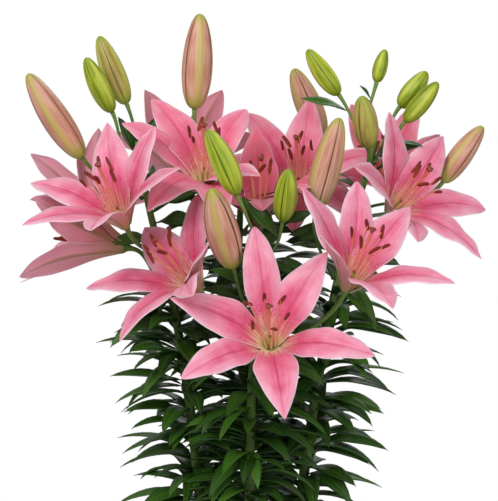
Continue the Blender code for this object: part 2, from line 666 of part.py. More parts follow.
def cutter(bm, name, collection):
    """A hidden tool that a Boolean modifier cuts with."""
    bmesh.ops.recalc_face_normals(bm, faces=bm.faces)
    mesh = bpy.data.meshes.new(name)
    bm.to_mesh(mesh)
    bm.free()
    item = bpy.data.objects.new(name, mesh)
    collection.objects.link(item)
    item.hide_render = True
    item.display_type = "WIRE"
    return item


def cut(item, tool):
    """Cuts the tool out of the item."""
    boolean = item.modifiers.new("Cut", "BOOLEAN")
    boolean.operation = "DIFFERENCE"
    boolean.solver = "EXACT"
    boolean.object = tool


def pot_inner_radius(height):
    """Radius of the pot's inner wall at a height."""
    slope = (POT_RIM_RADIUS - POT_COLLAR_STEP - POT_BASE_RADIUS) / POT_HEIGHT
    return POT_BASE_RADIUS - POT_WALL + slope * height


def make_pot(collection, cutters):
    """A plain tapered pot with a collar round its rim and drain holes in its floor."""
    wall_top = POT_HEIGHT - POT_COLLAR
    profile = ((0, POT_FLOOR), (pot_inner_radius(POT_FLOOR), POT_FLOOR),
               (pot_inner_radius(POT_HEIGHT), POT_HEIGHT - 1),
               (pot_inner_radius(POT_HEIGHT) + 0.8, POT_HEIGHT),
               (POT_RIM_RADIUS - 0.8, POT_HEIGHT), (POT_RIM_RADIUS, POT_HEIGHT - 1),
               (POT_RIM_RADIUS - 1.2, wall_top), (pot_inner_radius(wall_top) + POT_WALL, wall_top - 0.6),
               (POT_BASE_RADIUS, 1.5), (POT_BASE_RADIUS - 1.5, 0), (0, 0))
    pot = turned("pot", profile, POT_SEGMENTS, POT_BLACK, 0.45, collection)
    bm = bmesh.new()
    for i in range(DRAIN_COUNT):
        angle = (i + 0.5) * 2 * np.pi / DRAIN_COUNT
        drill = bmesh.ops.create_cone(bm, cap_ends=True, segments=8, radius1=DRAIN_RADIUS * MM,
                                      radius2=DRAIN_RADIUS * MM, depth=4 * POT_FLOOR * MM)
        place_at = (DRAIN_RING * np.cos(angle) * MM, DRAIN_RING * np.sin(angle) * MM, 0)
        bmesh.ops.translate(bm, verts=drill["verts"], vec=place_at)
    cut(pot, cutter(bm, "drain_drill", cutters))


def make_soil(collection, cutters):
    """Potting mix that fills the pot, open around each bulb and its stem."""
    floor = POT_FLOOR + TOUCH_GAP
    profile = ((0, SOIL_TOP + SOIL_CROWN), (0.45 * POT_RIM_RADIUS, SOIL_TOP + 0.8 * SOIL_CROWN),
               (pot_inner_radius(SOIL_TOP) - 3, SOIL_TOP),
               (pot_inner_radius(SOIL_TOP) - TOUCH_GAP - 0.2, SOIL_TOP - 2),
               (pot_inner_radius(floor) - TOUCH_GAP - 0.2, floor), (0, floor))
    soil = turned("potting_mix", profile, POT_SEGMENTS, SOIL_BROWN, 0.95, collection)
    for name, stem in STEMS.items():
        x, y = stem["route"][0][:2]
        bm = bmesh.new()
        bmesh.ops.create_uvsphere(bm, u_segments=10, v_segments=6, radius=(BULB_RADIUS + 0.8) * MM)
        bmesh.ops.translate(bm, verts=bm.verts, vec=(x * MM, y * MM, BULB_CENTRE * MM))
        cut(soil, cutter(bm, f"bulb_room_{name}", cutters))
        bm = bmesh.new()
        bmesh.ops.create_cone(bm, cap_ends=True, segments=12, radius1=STEM_HOLE * MM, radius2=STEM_HOLE * MM,
                              depth=80 * MM)
        bmesh.ops.translate(bm, verts=bm.verts, vec=(x * MM, y * MM, (BULB_CENTRE + 40) * MM))
        cut(soil, cutter(bm, f"stem_hole_{name}", cutters))


def main():
    """Clears the scene and builds every part."""
    for item in list(bpy.data.objects):
        bpy.data.objects.remove(item, do_unlink=True)
    parts = bpy.data.collections.new("Potted lily")
    cutters = bpy.data.collections.new("Cutters")
    bpy.context.scene.collection.children.link(parts)
    bpy.context.scene.collection.children.link(cutters)
    make_pot(parts, cutters)
    make_soil(parts, cutters)
    leaves = plan_leaves()
    for name, stem in STEMS.items():
        make_bulb(name, stem["route"], parts)
        make_stem(name, leaves[name], parts)
    for name, flower in FLOWERS.items():
        make_petals(name, flower, parts)
        make_flower_stalk(name, flower, parts)
    for name, bud in BUDS.items():
        make_bud(name, bud, parts)


main()
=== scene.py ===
# %% [markdown]
# # A potted lily
# Asiatic lilies are forced for sale with several bulbs to a pot. Each bulb sends up one leafy stem, and
# each stem carries a loose head of flowers and buds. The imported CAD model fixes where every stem, flower
# and bud is. This lesson gives each of them its living surface: thin petals with a groove along the middle,
# ribbed buds, folded leaves, and a plain nursery pot of crumbly mix.

from functools import partial

import bpy
import numpy as np
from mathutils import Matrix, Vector


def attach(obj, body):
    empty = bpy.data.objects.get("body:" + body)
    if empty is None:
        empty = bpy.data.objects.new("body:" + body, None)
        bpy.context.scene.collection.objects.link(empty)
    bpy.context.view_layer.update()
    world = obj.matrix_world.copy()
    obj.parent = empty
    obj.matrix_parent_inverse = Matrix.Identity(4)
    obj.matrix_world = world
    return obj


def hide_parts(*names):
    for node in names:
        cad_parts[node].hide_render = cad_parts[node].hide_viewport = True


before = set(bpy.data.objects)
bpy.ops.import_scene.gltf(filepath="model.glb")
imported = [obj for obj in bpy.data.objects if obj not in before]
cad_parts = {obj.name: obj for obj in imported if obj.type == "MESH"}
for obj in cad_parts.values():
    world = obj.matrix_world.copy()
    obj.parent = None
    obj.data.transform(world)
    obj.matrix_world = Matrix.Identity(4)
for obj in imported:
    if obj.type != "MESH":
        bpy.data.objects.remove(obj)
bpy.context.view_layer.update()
MM = 0.001

# %% [markdown]
# ## Camera
# The camera stands 1.5 m from a point inside the flower head and looks down on it by 7 degrees. A long lens
# keeps the near flowers from swelling. The crop ends above the pot, so the lens is set before any piece is
# made.

# %% Camera
LOOK_AT = Vector((0, 0, 0.385))
CAMERA_DISTANCE = 1.5
CAMERA_ELEVATION = np.radians(7)

lens = bpy.data.cameras.new("studio_camera")
lens.lens = 134.73
lens.sensor_width = 36
camera = bpy.data.objects.new("studio_camera", lens)
camera.location = LOOK_AT + CAMERA_DISTANCE * Vector((0, -np.cos(CAMERA_ELEVATION), np.sin(CAMERA_ELEVATION)))
camera.rotation_euler = (np.pi / 2 - CAMERA_ELEVATION, 0, 0)
bpy.context.scene.collection.objects.link(camera)
bpy.context.scene.camera = camera
print("camera at", tuple(round(value, 3) for value in camera.location))

# %% [markdown]
# ## Colour and nodes
# Colours are picked as sRGB hex codes, the way a paint chip is named, but Blender mixes light in linear
# values. One function turns the codes to linear. One more adds any node with its settings and links, so
# that a material reads as a list of what it is made from.

# %% Colour and node helpers
def colour(code):
    """Linear RGBA of an sRGB hex code: c / 12.92 if dark, else ((c + 0.055) / 1.055) to the power 2.4."""
    channels = np.array([int(code[i:i + 2], 16) for i in (1, 3, 5)]) / 255
    linear = np.where(channels <= 0.04045, channels / 12.92, ((channels + 0.055) / 1.055) ** 2.4)
    return (*(float(value) for value in linear), 1.0)


def add_node(tree, kind, *values, to=None, out=None, stops=(), **settings):
    """Adds one node with its settings and links, and returns its output: the named one, or else the first.

    A second word in the kind is the node's operation, data type or easing. Values fill the inputs in use
    from the top down, or by name from a dictionary: sockets are linked, hex codes become colours and the
    rest are set. Stops are the (place, hex code) pairs of a ramp. The output goes to the input called to.
    """
    name, _, mode = kind.partition(" ")
    node = tree.nodes.new("ShaderNode" + name)
    if mode:
        settings[{"Mix": "data_type", "MapRange": "interpolation_type"}.get(name, "operation")] = mode
    for key, value in settings.items():
        setattr(node, key, value)
    if values and isinstance(values[0], dict):
        pairs = [(node.inputs[key], value) for key, value in values[0].items()]
    else:
        pairs = zip([socket for socket in node.inputs if socket.enabled], values)
    for socket, value in pairs:
        if isinstance(value, bpy.types.NodeSocket):
            tree.links.new(value, socket)
        else:
            socket.default_value = colour(value) if isinstance(value, str) else value
    if stops:
        elements = node.color_ramp.elements
        elements[0].position, elements[1].position = stops[0][0], stops[-1][0]
        for place, _ in stops[1:-1]:
            elements.new(place)
        for element, (_, code) in zip(elements, stops):
            element.color = colour(code)
    output = node.outputs[out] if out else next(socket for socket in node.outputs if socket.enabled)
    if to:
        tree.links.new(output, to)
    return output


def new_material(name, **finish):
    """A material whose Principled shader has the given constants, with its own node adder and that shader."""
    made = bpy.data.materials.new(name)
    made.use_nodes = True
    shader = made.node_tree.nodes["Principled BSDF"]
    for key, value in finish.items():
        shader.inputs[key.replace("_", " ")].default_value = value
    return made, partial(add_node, made.node_tree), shader


SMOOTH = "MapRange SMOOTHSTEP"  # the node that eases a value from one range to another, in most masks below
print("rose petal in linear values", [round(value, 3) for value in colour("#e37b9a")])

# %% [markdown]
# ## Skins of grids
# Every living part here is a closed skin: rings of points carried along a path. A petal is a very flat
# ring, a stalk a round one, a bud a ribbed one. Whole families are worked out at once as an array of tubes,
# rows, points around and coordinates. Each tube's ends are closed by one pole point, and a tube whose
# signed volume comes out negative is turned round, so that its faces look outwards.

# %% Tubes to meshes
def tube_part(points, values):
    """Points, quads, triangles and point values of closed tubes.

    Points are (tubes, rows, around, 3) in millimetres. Values are arrays that spread to the same shape.
    The signed volume of a tube is the sum over its quads of the corner's triple product with the diagonals.
    """
    tubes, rows, around = points.shape[:3]
    values = {key: np.broadcast_to(value, (tubes, rows, around)).copy() for key, value in values.items()}
    ahead = np.roll(points, -1, axis=2)
    across_one = ahead[:, 1:] - points[:, :-1]
    across_two = points[:, 1:] - ahead[:, :-1]
    centre = points.mean(axis=(1, 2), keepdims=True)
    volume = ((points[:, :-1] - centre) * np.cross(across_one, across_two)).sum(axis=(1, 2, 3))
    wrong = volume < 0
    points = points.copy()
    points[wrong] = points[wrong][:, :, ::-1]
    for key in values:
        values[key][wrong] = values[key][wrong][:, :, ::-1]
    poles = points[:, (0, -1)].mean(axis=2)
    count = rows * around + 2
    spots = np.concatenate((points.reshape(tubes, -1, 3), poles), axis=1).reshape(-1, 3)
    ends = {key: value[:, (0, -1)].mean(axis=2) for key, value in values.items()}
    kept = {key: np.concatenate((value.reshape(tubes, -1), ends[key]), axis=1).ravel()
            for key, value in values.items()}
    row, spot = np.meshgrid(np.arange(rows - 1), np.arange(around), indexing="ij")
    after = (spot + 1) % around
    quads = np.stack((row * around + spot, row * around + after, (row + 1) * around + after,
                      (row + 1) * around + spot), axis=-1).reshape(-1, 4)
    ring = np.arange(around)
    turned = (ring + 1) % around
    first_pole = np.stack((np.full(around, rows * around), turned, ring), axis=1)
    last_pole = np.stack((np.full(around, rows * around + 1), (rows - 1) * around + ring,
                          (rows - 1) * around + turned), axis=1)
    offsets = np.arange(tubes)[:, None, None] * count
    fans = (np.vstack((first_pole, last_pole))[None] + offsets).reshape(-1, 3)
    return spots, (quads[None] + offsets).reshape(-1, 4), fans, kept


def make_piece(name, parts, materials, nodes=(), smooth=True):
    """One object from several parts, each with its own material, which rides on the root body."""
    first = 0
    spots, quads, fans, quad_finish, fan_finish = [], [], [], [], []
    for index, (points, four, three, _) in enumerate(parts):
        spots.append(points * MM)
        quads.append(four + first)
        fans.append(three + first)
        quad_finish.append(np.full(len(four), index))
        fan_finish.append(np.full(len(three), index))
        first += len(points)
    mesh = bpy.data.meshes.new(name)
    mesh.from_pydata(np.vstack(spots), [], np.vstack(quads).tolist() + np.vstack(fans).tolist())
    for made in materials:
        mesh.materials.append(made)
    finishes = np.minimum(np.concatenate(quad_finish + fan_finish), len(materials) - 1)
    mesh.polygons.foreach_set("material_index", finishes.astype(np.int32))
    mesh.polygons.foreach_set("use_smooth", np.full(len(mesh.polygons), smooth))
    for key in parts[0][3]:
        layer = mesh.attributes.new(key, "FLOAT", "POINT")
        layer.data.foreach_set("value", np.concatenate([part[3][key] for part in parts]).astype(np.float32))
    mesh.update()
    piece = bpy.data.objects.new(name, mesh)
    bpy.context.scene.collection.objects.link(piece)
    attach(piece, "root")
    if nodes:
        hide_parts(*nodes)
    return piece


print("one helper makes the mesh of every piece that grows")

# %% Outlines carried along lines
def swept(line, sides, across, outline):
    """Rings along a line: each point is the line's, plus outline x times side, plus outline y times across.

    Line, sides and across are (..., rows, 3) and outline is (..., rows, around, 2).
    """
    return (line[..., None, :] + outline[..., :1] * sides[..., None, :]
            + outline[..., 1:] * across[..., None, :])


def ring_angles(count):
    """Angles of evenly spaced points round a ring, in radians."""
    return np.arange(count) * 2 * np.pi / count


def outline_of(radii):
    """Outlines of radii given as (..., rows, around): each point is its radius times its cosine and sine."""
    angles = ring_angles(radii.shape[-1])
    return radii[..., None] * np.stack((np.cos(angles), np.sin(angles)), axis=-1)


def round_outline(radii, around, ribs=0, depth=0.0):
    """Round outlines of the given radii, whose ribs swell them by depth times the cosine of so many turns."""
    return outline_of(np.asarray(radii)[..., None] * (1 + depth * np.cos(ribs * ring_angles(around))))


print("a hexagon of radius 1 starts at", round_outline([1.0], 6)[0, 0])

# %% [markdown]
# ## Where everything is
# The CAD model's layout is repeated here in its own words: the route of each stem, the place and pose of
# each flower, the foot and tip of each bud. All lengths are in millimetres and all angles in degrees.

# %% Layout of stems, flowers and buds
STEM_FOOT = 79.0
STEM_RADIUS = 4.6
STEM_TOP_RADIUS = 2.3
STALK_RADIUS = 1.8
BUD_STALK_RADIUS = 1.5
FORK_GAP = 0.5

STEMS = {
    "front": dict(route=((0, -32, 79), (0, -32, 132), (1, -35, 240), (4, -40, 325), (10, -42, 396)),
                  leafy=322, upper=((352, -20, 34, 50), (366, 150, 30, 60), (388, 60, 32, 62))),
    "left": dict(route=((-37, 4, 79), (-37, 4, 132), (-46, 5, 240), (-62, 8, 345), (-80, 30, 410),
                        (-92, 38, 470)),
                 leafy=352, upper=((412, 20, 40, 35), (452, 75, 32, 70), (462, 200, 24, 55))),
    "right": dict(route=((37, 4, 79), (37, 4, 132), (50, 6, 240), (68, 8, 345), (86, 26, 412),
                         (104, 42, 470)),
                  leafy=352, upper=((392, -60, 36, 30), (455, 165, 42, 52), (461, 20, 24, 60))),
    "back": dict(route=((0, 38, 79), (0, 38, 132), (-4, 40, 240), (-8, 40, 370), (-6, 42, 440)),
                 leafy=366, upper=((396, 120, 34, 40), (420, 230, 32, 50), (436, 30, 28, 65))),
}

# Each flower: its stem and the height where its stalk leaves it, its receptacle, the direction and
# elevation that it faces, the turn of its first petal, petal length, the angles from its axis at which a
# petal starts and ends, which petals are the broad inner ones, and each petal's own turn, curl and reach,
# where it has any.
FLOWERS = {
    "upper_left": dict(stem="left", fork=372, base=(-97, -30, 409), face=(-37, 55), roll=-36, length=85,
                       open=(28, 82), broad=0, turn=(5, -9, -5, 6, 4, 0), curl=(-5, -15, 0, 0, 0, 5),
                       reach=(2, -6, 2, 1, 2, -2)),
    "far_left": dict(stem="left", fork=360, base=(-100, 15, 386), face=(-100, 12), roll=0, length=92,
                     open=(22, 72), broad=1, curl=(15, -10, -8, -35, -20, -10)),
    "rear_left": dict(stem="left", fork=392, base=(-131, 122, 392), face=(-172, 45), roll=0, length=84,
                      open=(25, 72), broad=0),
    "centre_left": dict(stem="front", fork=312, base=(-39, -50, 360), face=(-55, 45), roll=-4, length=85,
                        open=(30, 87), broad=1, turn=(-11, 27, -2, -3, -5, -5), curl=(-5, -20, 5, 20, 0, 10),
                        reach=(-6, -3, 0, 1, 4, -4)),
    "centre_front": dict(stem="front", fork=292, base=(16, -88, 322), face=(-2, 40), roll=-12, length=89,
                         open=(34, 96), broad=1, turn=(3, -11, 2, 3, 5, -2), curl=(-5, -10, 5, 5, 0, 0),
                         reach=(4, -5, 2, 0, 0, -3)),
    "centre_right": dict(stem="front", fork=302, base=(75, -65, 364), face=(33, 54), roll=16, length=87,
                         open=(27, 78), broad=1, turn=(4, -15, 2, 0, 4, 6), curl=(-5, 3, 5, 10, -25, -15),
                         reach=(-3, -3, 0, 0, 0, 0)),
    "right": dict(stem="right", fork=372, base=(114, 24, 412), face=(43, 40), roll=-11, length=85,
                  open=(30, 89), broad=1, turn=(12, 5, 3, -4, -11, -5), curl=(-15, 0, 10, 5, -5, -7),
                  reach=(-4, 0, -3, 5, 0, 0)),
    "top_middle": dict(stem="back", fork=392, base=(-35, -9, 438), face=(0, 58), roll=-14, length=82,
                       open=(30, 95), broad=0, turn=(-22, -17, 30, 0, -7, 6), curl=(0, 5, -15, 30, 35, -5),
                       reach=(5, -6, -8, -14, -8, 0)),
    "top_rear": dict(stem="back", fork=404, base=(-55, 82, 435), face=(180, 45), roll=30, length=82,
                     open=(25, 80), broad=0),
    "middle": dict(stem="back", fork=380, base=(8, 25, 402), face=(5, 72), roll=0, length=86,
                   open=(18, 78), broad=0, turn=(0, 35, 27, 3, 25, -7), curl=(-10, 20, 0, 20, 22, 35),
                   reach=(0, 0, 0, 0, -20, -20)),
    "rear_middle": dict(stem="back", fork=414, base=(42, 74, 423), face=(-7, 57), roll=18, length=84,
                        open=(26, 82), broad=0, turn=(-12, 0, 0, -19, 9, 0), curl=(-7, 33, 50, 60, 26, 2),
                        reach=(0, 0, 0, -15, 0, 0)),
    "rear_right": dict(stem="right", fork=404, base=(122, 115, 423), face=(-23, 47), roll=20, length=80,
                       open=(22, 60), broad=0, curl=(25, 0, 0, 0, 10, -5)),
}

# Each bud: its name, its stem and the height where its stalk leaves it, its foot, its tip and its width.
BUDS = {name: dict(stem=stem, fork=height, foot=foot, tip=tip, width=width)
        for name, stem, height, foot, tip, width in (
            ("far_left", "left", 424, (-133, 6, 459), (-174, -8, 526), 23),
            ("left_short", "left", 446, (-111, 35, 494), (-131, 25, 538), 17),
            ("left_tall", "left", 458, (-100, 47, 500), (-122, 47, 555), 20),
            ("top", "back", 436, (-44, 22, 497), (-39, 18, 573), 25),
            ("middle_green", "front", 392, (-9, -85, 438), (-31, -92, 487), 19.5),
            ("middle_ripe", "front", 340, (-12, -62, 380), (-28, -97, 443), 26),
            ("middle_short", "front", 384, (26, -45, 414), (30, -65, 455), 18.5),
            ("rear_ripe", "back", 372, (63, 118, 470), (38, 112, 527), 23),
            ("rear_green", "right", 462, (74, 60, 507), (48, 60, 544), 17),
            ("tall_right", "right", 360, (53, -10, 420), (71, -20, 492), 24),
            ("dark_right", "right", 440, (96, 20, 467), (89, -5, 508), 20.5),
            ("tiny", "right", 468, (105, 60, 517), (112, 60, 544), 12),
            ("pair_inner", "right", 456, (124, 58, 497), (146, 58, 526), 17),
            ("pair_outer", "right", 446, (127, 40, 486), (153, 35, 518), 15.5),
            ("far_right", "right", 416, (160, 56, 435), (193, 60, 481), 19),
        )}
for flower in FLOWERS.values():
    for key in ("turn", "curl", "reach"):
        flower.setdefault(key, (0, 0, 0, 0, 0, 0))
RIPE_BUDS = ("far_left", "top", "middle_ripe", "rear_ripe", "tall_right", "far_right")
TURNING_BUDS = ("left_tall", "dark_right")
print(len(STEMS), "stems", len(FLOWERS), "flowers", len(BUDS), "buds")

# %% [markdown]
# ## Lines that things grow along
# Stems pass through their points on a Catmull-Rom curve, and stalks leave a stem on a Hermite curve, as the
# CAD model has them, so the fine pieces lie inside the same space. Cross directions are carried along a
# line without twist.

# %% Directions and routes
def unit(vectors):
    """Each row scaled to length 1."""
    vectors = np.asarray(vectors, float)
    return vectors / np.linalg.norm(vectors, axis=-1, keepdims=True)


def facing(azimuth, elevation):
    """Axis, 'up' and 'right' of a flower that faces azimuth (0 is the front, +90 is +X) and elevation."""
    a, e = np.radians((azimuth, elevation))
    axis = np.array((np.sin(a) * np.cos(e), -np.cos(a) * np.cos(e), np.sin(e)))
    up = np.array((-np.sin(a) * np.sin(e), np.cos(a) * np.sin(e), np.cos(e)))
    right = np.array((np.cos(a), np.sin(a), 0.0))
    return axis, up, right


def smooth_route(points, count):
    """Catmull-Rom curve through the points, sampled evenly along its length."""
    points = np.asarray(points, float)
    padded = np.vstack((2 * points[0] - points[1], points, 2 * points[-1] - points[-2]))
    t = np.linspace(0, 1, 30, endpoint=False)[:, None]
    runs = []
    for p0, p1, p2, p3 in zip(padded, padded[1:], padded[2:], padded[3:]):
        runs.append(0.5 * (2 * p1 + (p2 - p0) * t + (2 * p0 - 5 * p1 + 4 * p2 - p3) * t ** 2
                           + (3 * p1 - p0 - 3 * p2 + p3) * t ** 3))
    return resample(np.vstack(runs + [points[-1:]]), count)


def points_at(wanted, along, line):
    """Points at the wanted places, on straight runs between the line's points at the places along."""
    return np.stack([np.interp(wanted, along, line[:, i]) for i in range(3)], axis=1)


def resample(line, count):
    """The polyline's points, evenly spaced along its length."""
    along = np.concatenate(([0], np.cumsum(np.linalg.norm(np.diff(line, axis=0), axis=1))))
    return points_at(np.linspace(0, along[-1], count), along, line)


def arc_route(start, start_way, end, end_way, count):
    """Hermite curve that leaves start along start_way and reaches end along end_way."""
    reach = 1.1 * np.linalg.norm(end - start)
    t = np.linspace(0, 1, 60)[:, None]
    line = ((2 * t ** 3 - 3 * t ** 2 + 1) * start + (t ** 3 - 2 * t ** 2 + t) * reach * start_way
            + (3 * t ** 2 - 2 * t ** 3) * end + (t ** 3 - t ** 2) * reach * end_way)
    return resample(line, count)


def tangents(lines):
    """Unit direction at each point of one polyline or several, given as (..., rows, 3)."""
    return unit(np.gradient(lines, axis=-2))


def carried_frames(line, last_side):
    """Two cross directions at each point, carried back without twist from the last point's side."""
    ways = tangents(line)
    sides = np.zeros_like(line)
    side = np.asarray(last_side, float)
    for i in range(len(line) - 1, -1, -1):
        side = side - ways[i] * (side @ ways[i])
        side = side / np.linalg.norm(side)
        sides[i] = side
    return sides, np.cross(ways, sides)


print("facing the front, level:", facing(0, 0)[0])

# %% Stems and stalks
def stem_line(name):
    """Fine centre line of a stem."""
    return smooth_route(STEMS[name]["route"], 400)


def stem_radius(height, top):
    """Stem radius at a height: it tapers towards the top of its flower head."""
    share = np.clip((height - STEM_FOOT) / (top - STEM_FOOT), 0, 1)
    return STEM_RADIUS + (STEM_TOP_RADIUS - STEM_RADIUS) * share ** 1.5


def fork(stem, height, target, radius):
    """Start point and direction of a stalk that leaves the stem at a height, towards the target."""
    line = stem_line(stem)
    here = np.argmin(abs(line[:, 2] - height))
    centre, along = line[here], tangents(line)[here]
    out = np.asarray(target, float) - centre
    out = unit(out - along * (out @ along))
    clear = stem_radius(height, line[-1, 2]) + FORK_GAP + 0.75 * radius
    return centre + out * clear, unit(out + 0.9 * along)


def flower_stalk(flower, count):
    """Centre line of a flower's stalk, up to its receptacle."""
    axis = facing(*flower["face"])[0]
    base = np.asarray(flower["base"], float)
    start, way = fork(flower["stem"], flower["fork"], base - 14 * axis, STALK_RADIUS)
    return arc_route(start, way, base - 7 * axis, axis, count)


def bud_stalk(bud, count):
    """Centre line of a bud's stalk, up to the bud's foot."""
    foot = np.asarray(bud["foot"], float)
    axis = unit(np.asarray(bud["tip"], float) - foot)
    start, way = fork(bud["stem"], bud["fork"], foot - 12 * axis, BUD_STALK_RADIUS)
    return arc_route(start, way, foot, axis, count)


front_steps = np.linalg.norm(np.diff(stem_line("front"), axis=0), axis=1)
print("front stem is", round(float(front_steps.sum())), "mm long")

# %% [markdown]
# ## The flesh of a petal
# A lily's petal is satin: its cells are low domes, so light spreads softly. The colour is deepest along the
# middle groove and in the throat, runs out to paler edges, and is streaked by fine veins about a millimetre
# apart. A darker line down the groove is painted shade, and a whitish line along the rim is a painted
# highlight. Near the throat there are cream streaks and small raised dots. The back of a petal is dustier,
# with an olive midrib and the same painted rim highlight. All of it is drawn in the petal's own coordinates,
# along and across, so it follows every curl.

# %% Petal material
def petal_material():
    """Satin petal flesh: rose ramp from midrib to rim, veins 1.1 mm apart, cream throat, dusty back."""
    made, node, shader = new_material("lily_petal_satin", Roughness=0.52, Specular_IOR_Level=0.4,
                                      Sheen_Weight=0.12, Sheen_Roughness=0.5, Subsurface_Weight=0.35,
                                      Subsurface_Radius=(1.0, 0.4, 0.45), Subsurface_Scale=0.002)
    along, across, inside, tone, young = (node("Attribute", out="Fac", attribute_name=key)
                                          for key in ("along", "across", "inside", "tone", "young"))
    off_middle = node("Math ABSOLUTE", across)
    # Veins: noise stretched along the petal. 13 cells on a half width of about 14 mm is a vein each 1.1 mm.
    place = node("CombineXYZ", across, along, tone)
    stretched = node("VectorMath MULTIPLY", place, (13.0, 2.2, 37.0))
    veins = node("TexNoise", {"Vector": stretched, "Scale": 1.0, "Detail": 3.0})
    streak = node("Math SUBTRACT", veins, 0.5)
    # Clouds: soft patches about 12 mm wide.
    wide = node("VectorMath MULTIPLY", place, (1.5, 6.0, 11.0))
    clouds = node("TexNoise", {"Vector": wide, "Scale": 1.0, "Detail": 2.0})
    pale = node("Math MULTIPLY", node("Math POWER", off_middle, 1.6), 0.5)
    pale = node("Math MULTIPLY_ADD", node("Math POWER", along, 1.5), 0.42, pale)
    pale = node("Math MULTIPLY_ADD", streak, 0.5, pale)
    pale = node("Math MULTIPLY_ADD", node("Math SUBTRACT", clouds, 0.5), 0.8, pale)
    front = node("ValToRGB", pale,
                 stops=((0.0, "#da4f7a"), (0.25, "#e67a9a"), (0.6, "#f0a1b7"), (1.0, "#f4c6d3")))
    groove = node("Math MULTIPLY", node(SMOOTH, off_middle, 0.01, 0.11, 1.0, 0.0),
                  node(SMOOTH, along, 0.45, 1.0, 0.62, 0.1))
    front = node("Mix RGBA", groove, front, "#c8446c")
    # Painted shade: a darker line down the middle of the groove, stronger on some petals, stands in for the
    # shade that falls in the groove.
    painted_groove_shade = node("Math MULTIPLY", node(SMOOTH, off_middle, 0.005, 0.045, 1.0, 0.0),
                  node(SMOOTH, along, 0.5, 0.95, 0.55, 0.08))
    painted_groove_shade = node("Math MULTIPLY", painted_groove_shade, node(SMOOTH, tone, 0.2, 0.8, 0.45, 1.0))
    front = node("Mix RGBA", painted_groove_shade, front, "#a83257")
    blush = node("Math MULTIPLY", node(SMOOTH, along, 0.16, 0.52, 0.9, 0.0),
                 node(SMOOTH, clouds, 0.3, 0.7, 0.6, 1.0))
    front = node("Mix RGBA", blush, front, "#d6336a")
    # A flower that has just opened is still coral, and it pales to rose in a few days.
    front = node("Mix RGBA", node("Math MULTIPLY", young, 0.75), front, "#ea6079")
    # Throat: cream runs up the petal in streaks, with a little yellow-green in the nectar furrow.
    streaks = node(SMOOTH, veins, 0.44, 0.58, 0.12, 1.0)
    throat = node("Math MULTIPLY", node(SMOOTH, along, 0.10, 0.33, 1.0, 0.0), streaks)
    throat = node("Math MAXIMUM", throat, node(SMOOTH, along, 0.08, 0.17, 0.9, 0.0))
    front = node("Mix RGBA", node("Math MULTIPLY", throat, 0.9), front, "#f6e2b6")
    furrow = node("Math MULTIPLY", node(SMOOTH, along, 0.03, 0.13, 1.0, 0.0),
                  node(SMOOTH, off_middle, 0.15, 0.6, 1.0, 0.35))
    front = node("Mix RGBA", furrow, front, "#b9b44e")
    # Raised dots: cells about 2.4 mm apart on the lower third of the petal, a shade deeper than the flesh.
    dotted = node("VectorMath MULTIPLY", place, (6.0, 36.0, 1.0))
    cells = node("TexVoronoi", {"Vector": dotted, "Scale": 1.0}, voronoi_dimensions="3D")
    spotted = node("Math MULTIPLY", node(SMOOTH, along, 0.12, 0.20),
                   node(SMOOTH, along, 0.30, 0.44, 1.0, 0.0))
    dots = node("Math MULTIPLY", node(SMOOTH, cells, 0.12, 0.36, 1.0, 0.0), spotted)
    front = node("Mix RGBA", node("Math MULTIPLY", dots, 0.8), front, "#b42c5c")
    # Painted highlight: a whitish line along the rim of the face stands in for light caught by the petal's
    # edge.
    rim = node(SMOOTH, off_middle, 0.92, 0.99)
    front = node("Mix RGBA", node("Math MULTIPLY", rim, 0.55), front, "#fbe3e9")
    back = node("ValToRGB", node("Math MULTIPLY_ADD", streak, 0.35, along),
                stops=((0.0, "#a59f58"), (0.12, "#c98873"), (0.4, "#e190a0"), (1.0, "#f0abbd")))
    rib = node("Math MULTIPLY", node(SMOOTH, off_middle, 0.03, 0.22, 1.0, 0.0),
               node(SMOOTH, along, 0.5, 1.0, 0.85, 0.25))
    back = node("Mix RGBA", rib, back, "#a37a55")
    # The back gets the same painted rim highlight.
    back = node("Mix RGBA", node("Math MULTIPLY", rim, 0.5), back, "#f3cdd6")
    node("Mix RGBA", inside, back, front, to=shader.inputs["Base Color"])
    relief = node("Math ADD", node("Math MULTIPLY", veins, 0.5), dots)
    node("Bump", {"Height": relief, "Strength": 0.45, "Distance": 0.0006}, to=shader.inputs["Normal"])
    return made


LILY_PETAL = petal_material()
print("petal nodes", len(LILY_PETAL.node_tree.nodes))

# %% [markdown]
# ## The shape of a petal
# Six petals stand in two whorls of three, and the inner three are broader. Each one starts upright in the
# funnel, bends out along its length and often rolls back at the tip. A petal could be a plane bent by hand,
# but as a function of its length and its width it can be told in a few lines: a midrib that leans further
# with every step, a width that swells and closes to a point, two halves that rise like a shallow gull wing,
# a groove along the middle of the face with a ridge behind it, and a slight wave along the edges. In the
# funnel the cross-section follows the circle round the flower's axis, so the inner whorl lies neatly inside
# the outer one.

# %% The midrib and outline of a petal
RING_RADIUS = 4.3
OUTER_HALF_WIDTH = 12.5
INNER_HALF_WIDTH = 15.5
FULLER = 1.13
WHORL_GAP = 1.1
PETAL_ROWS = 46
FACE_POINTS = 17
WAVE_LENGTHS = (26, 36)
WAVE_HEIGHTS = (0.5, 1.15)
GROOVE_DEPTH = 0.6
GROOVE_WIDTH = 1.1
RIDGE_HEIGHTS = {True: 0.9, False: 0.45}  # of the broad petals and of the narrow ones
RIDGE_WIDTH = 1.6
YOUNG_FLOWERS = {"middle": 1.0, "top_middle": 0.4, "rear_middle": 0.3, "rear_right": 0.4}


def petal_angle(flower, k):
    """Turn of petal k around the flower's axis, clockwise from up as seen from the front."""
    return flower["roll"] + 60 * k + flower["turn"][k]


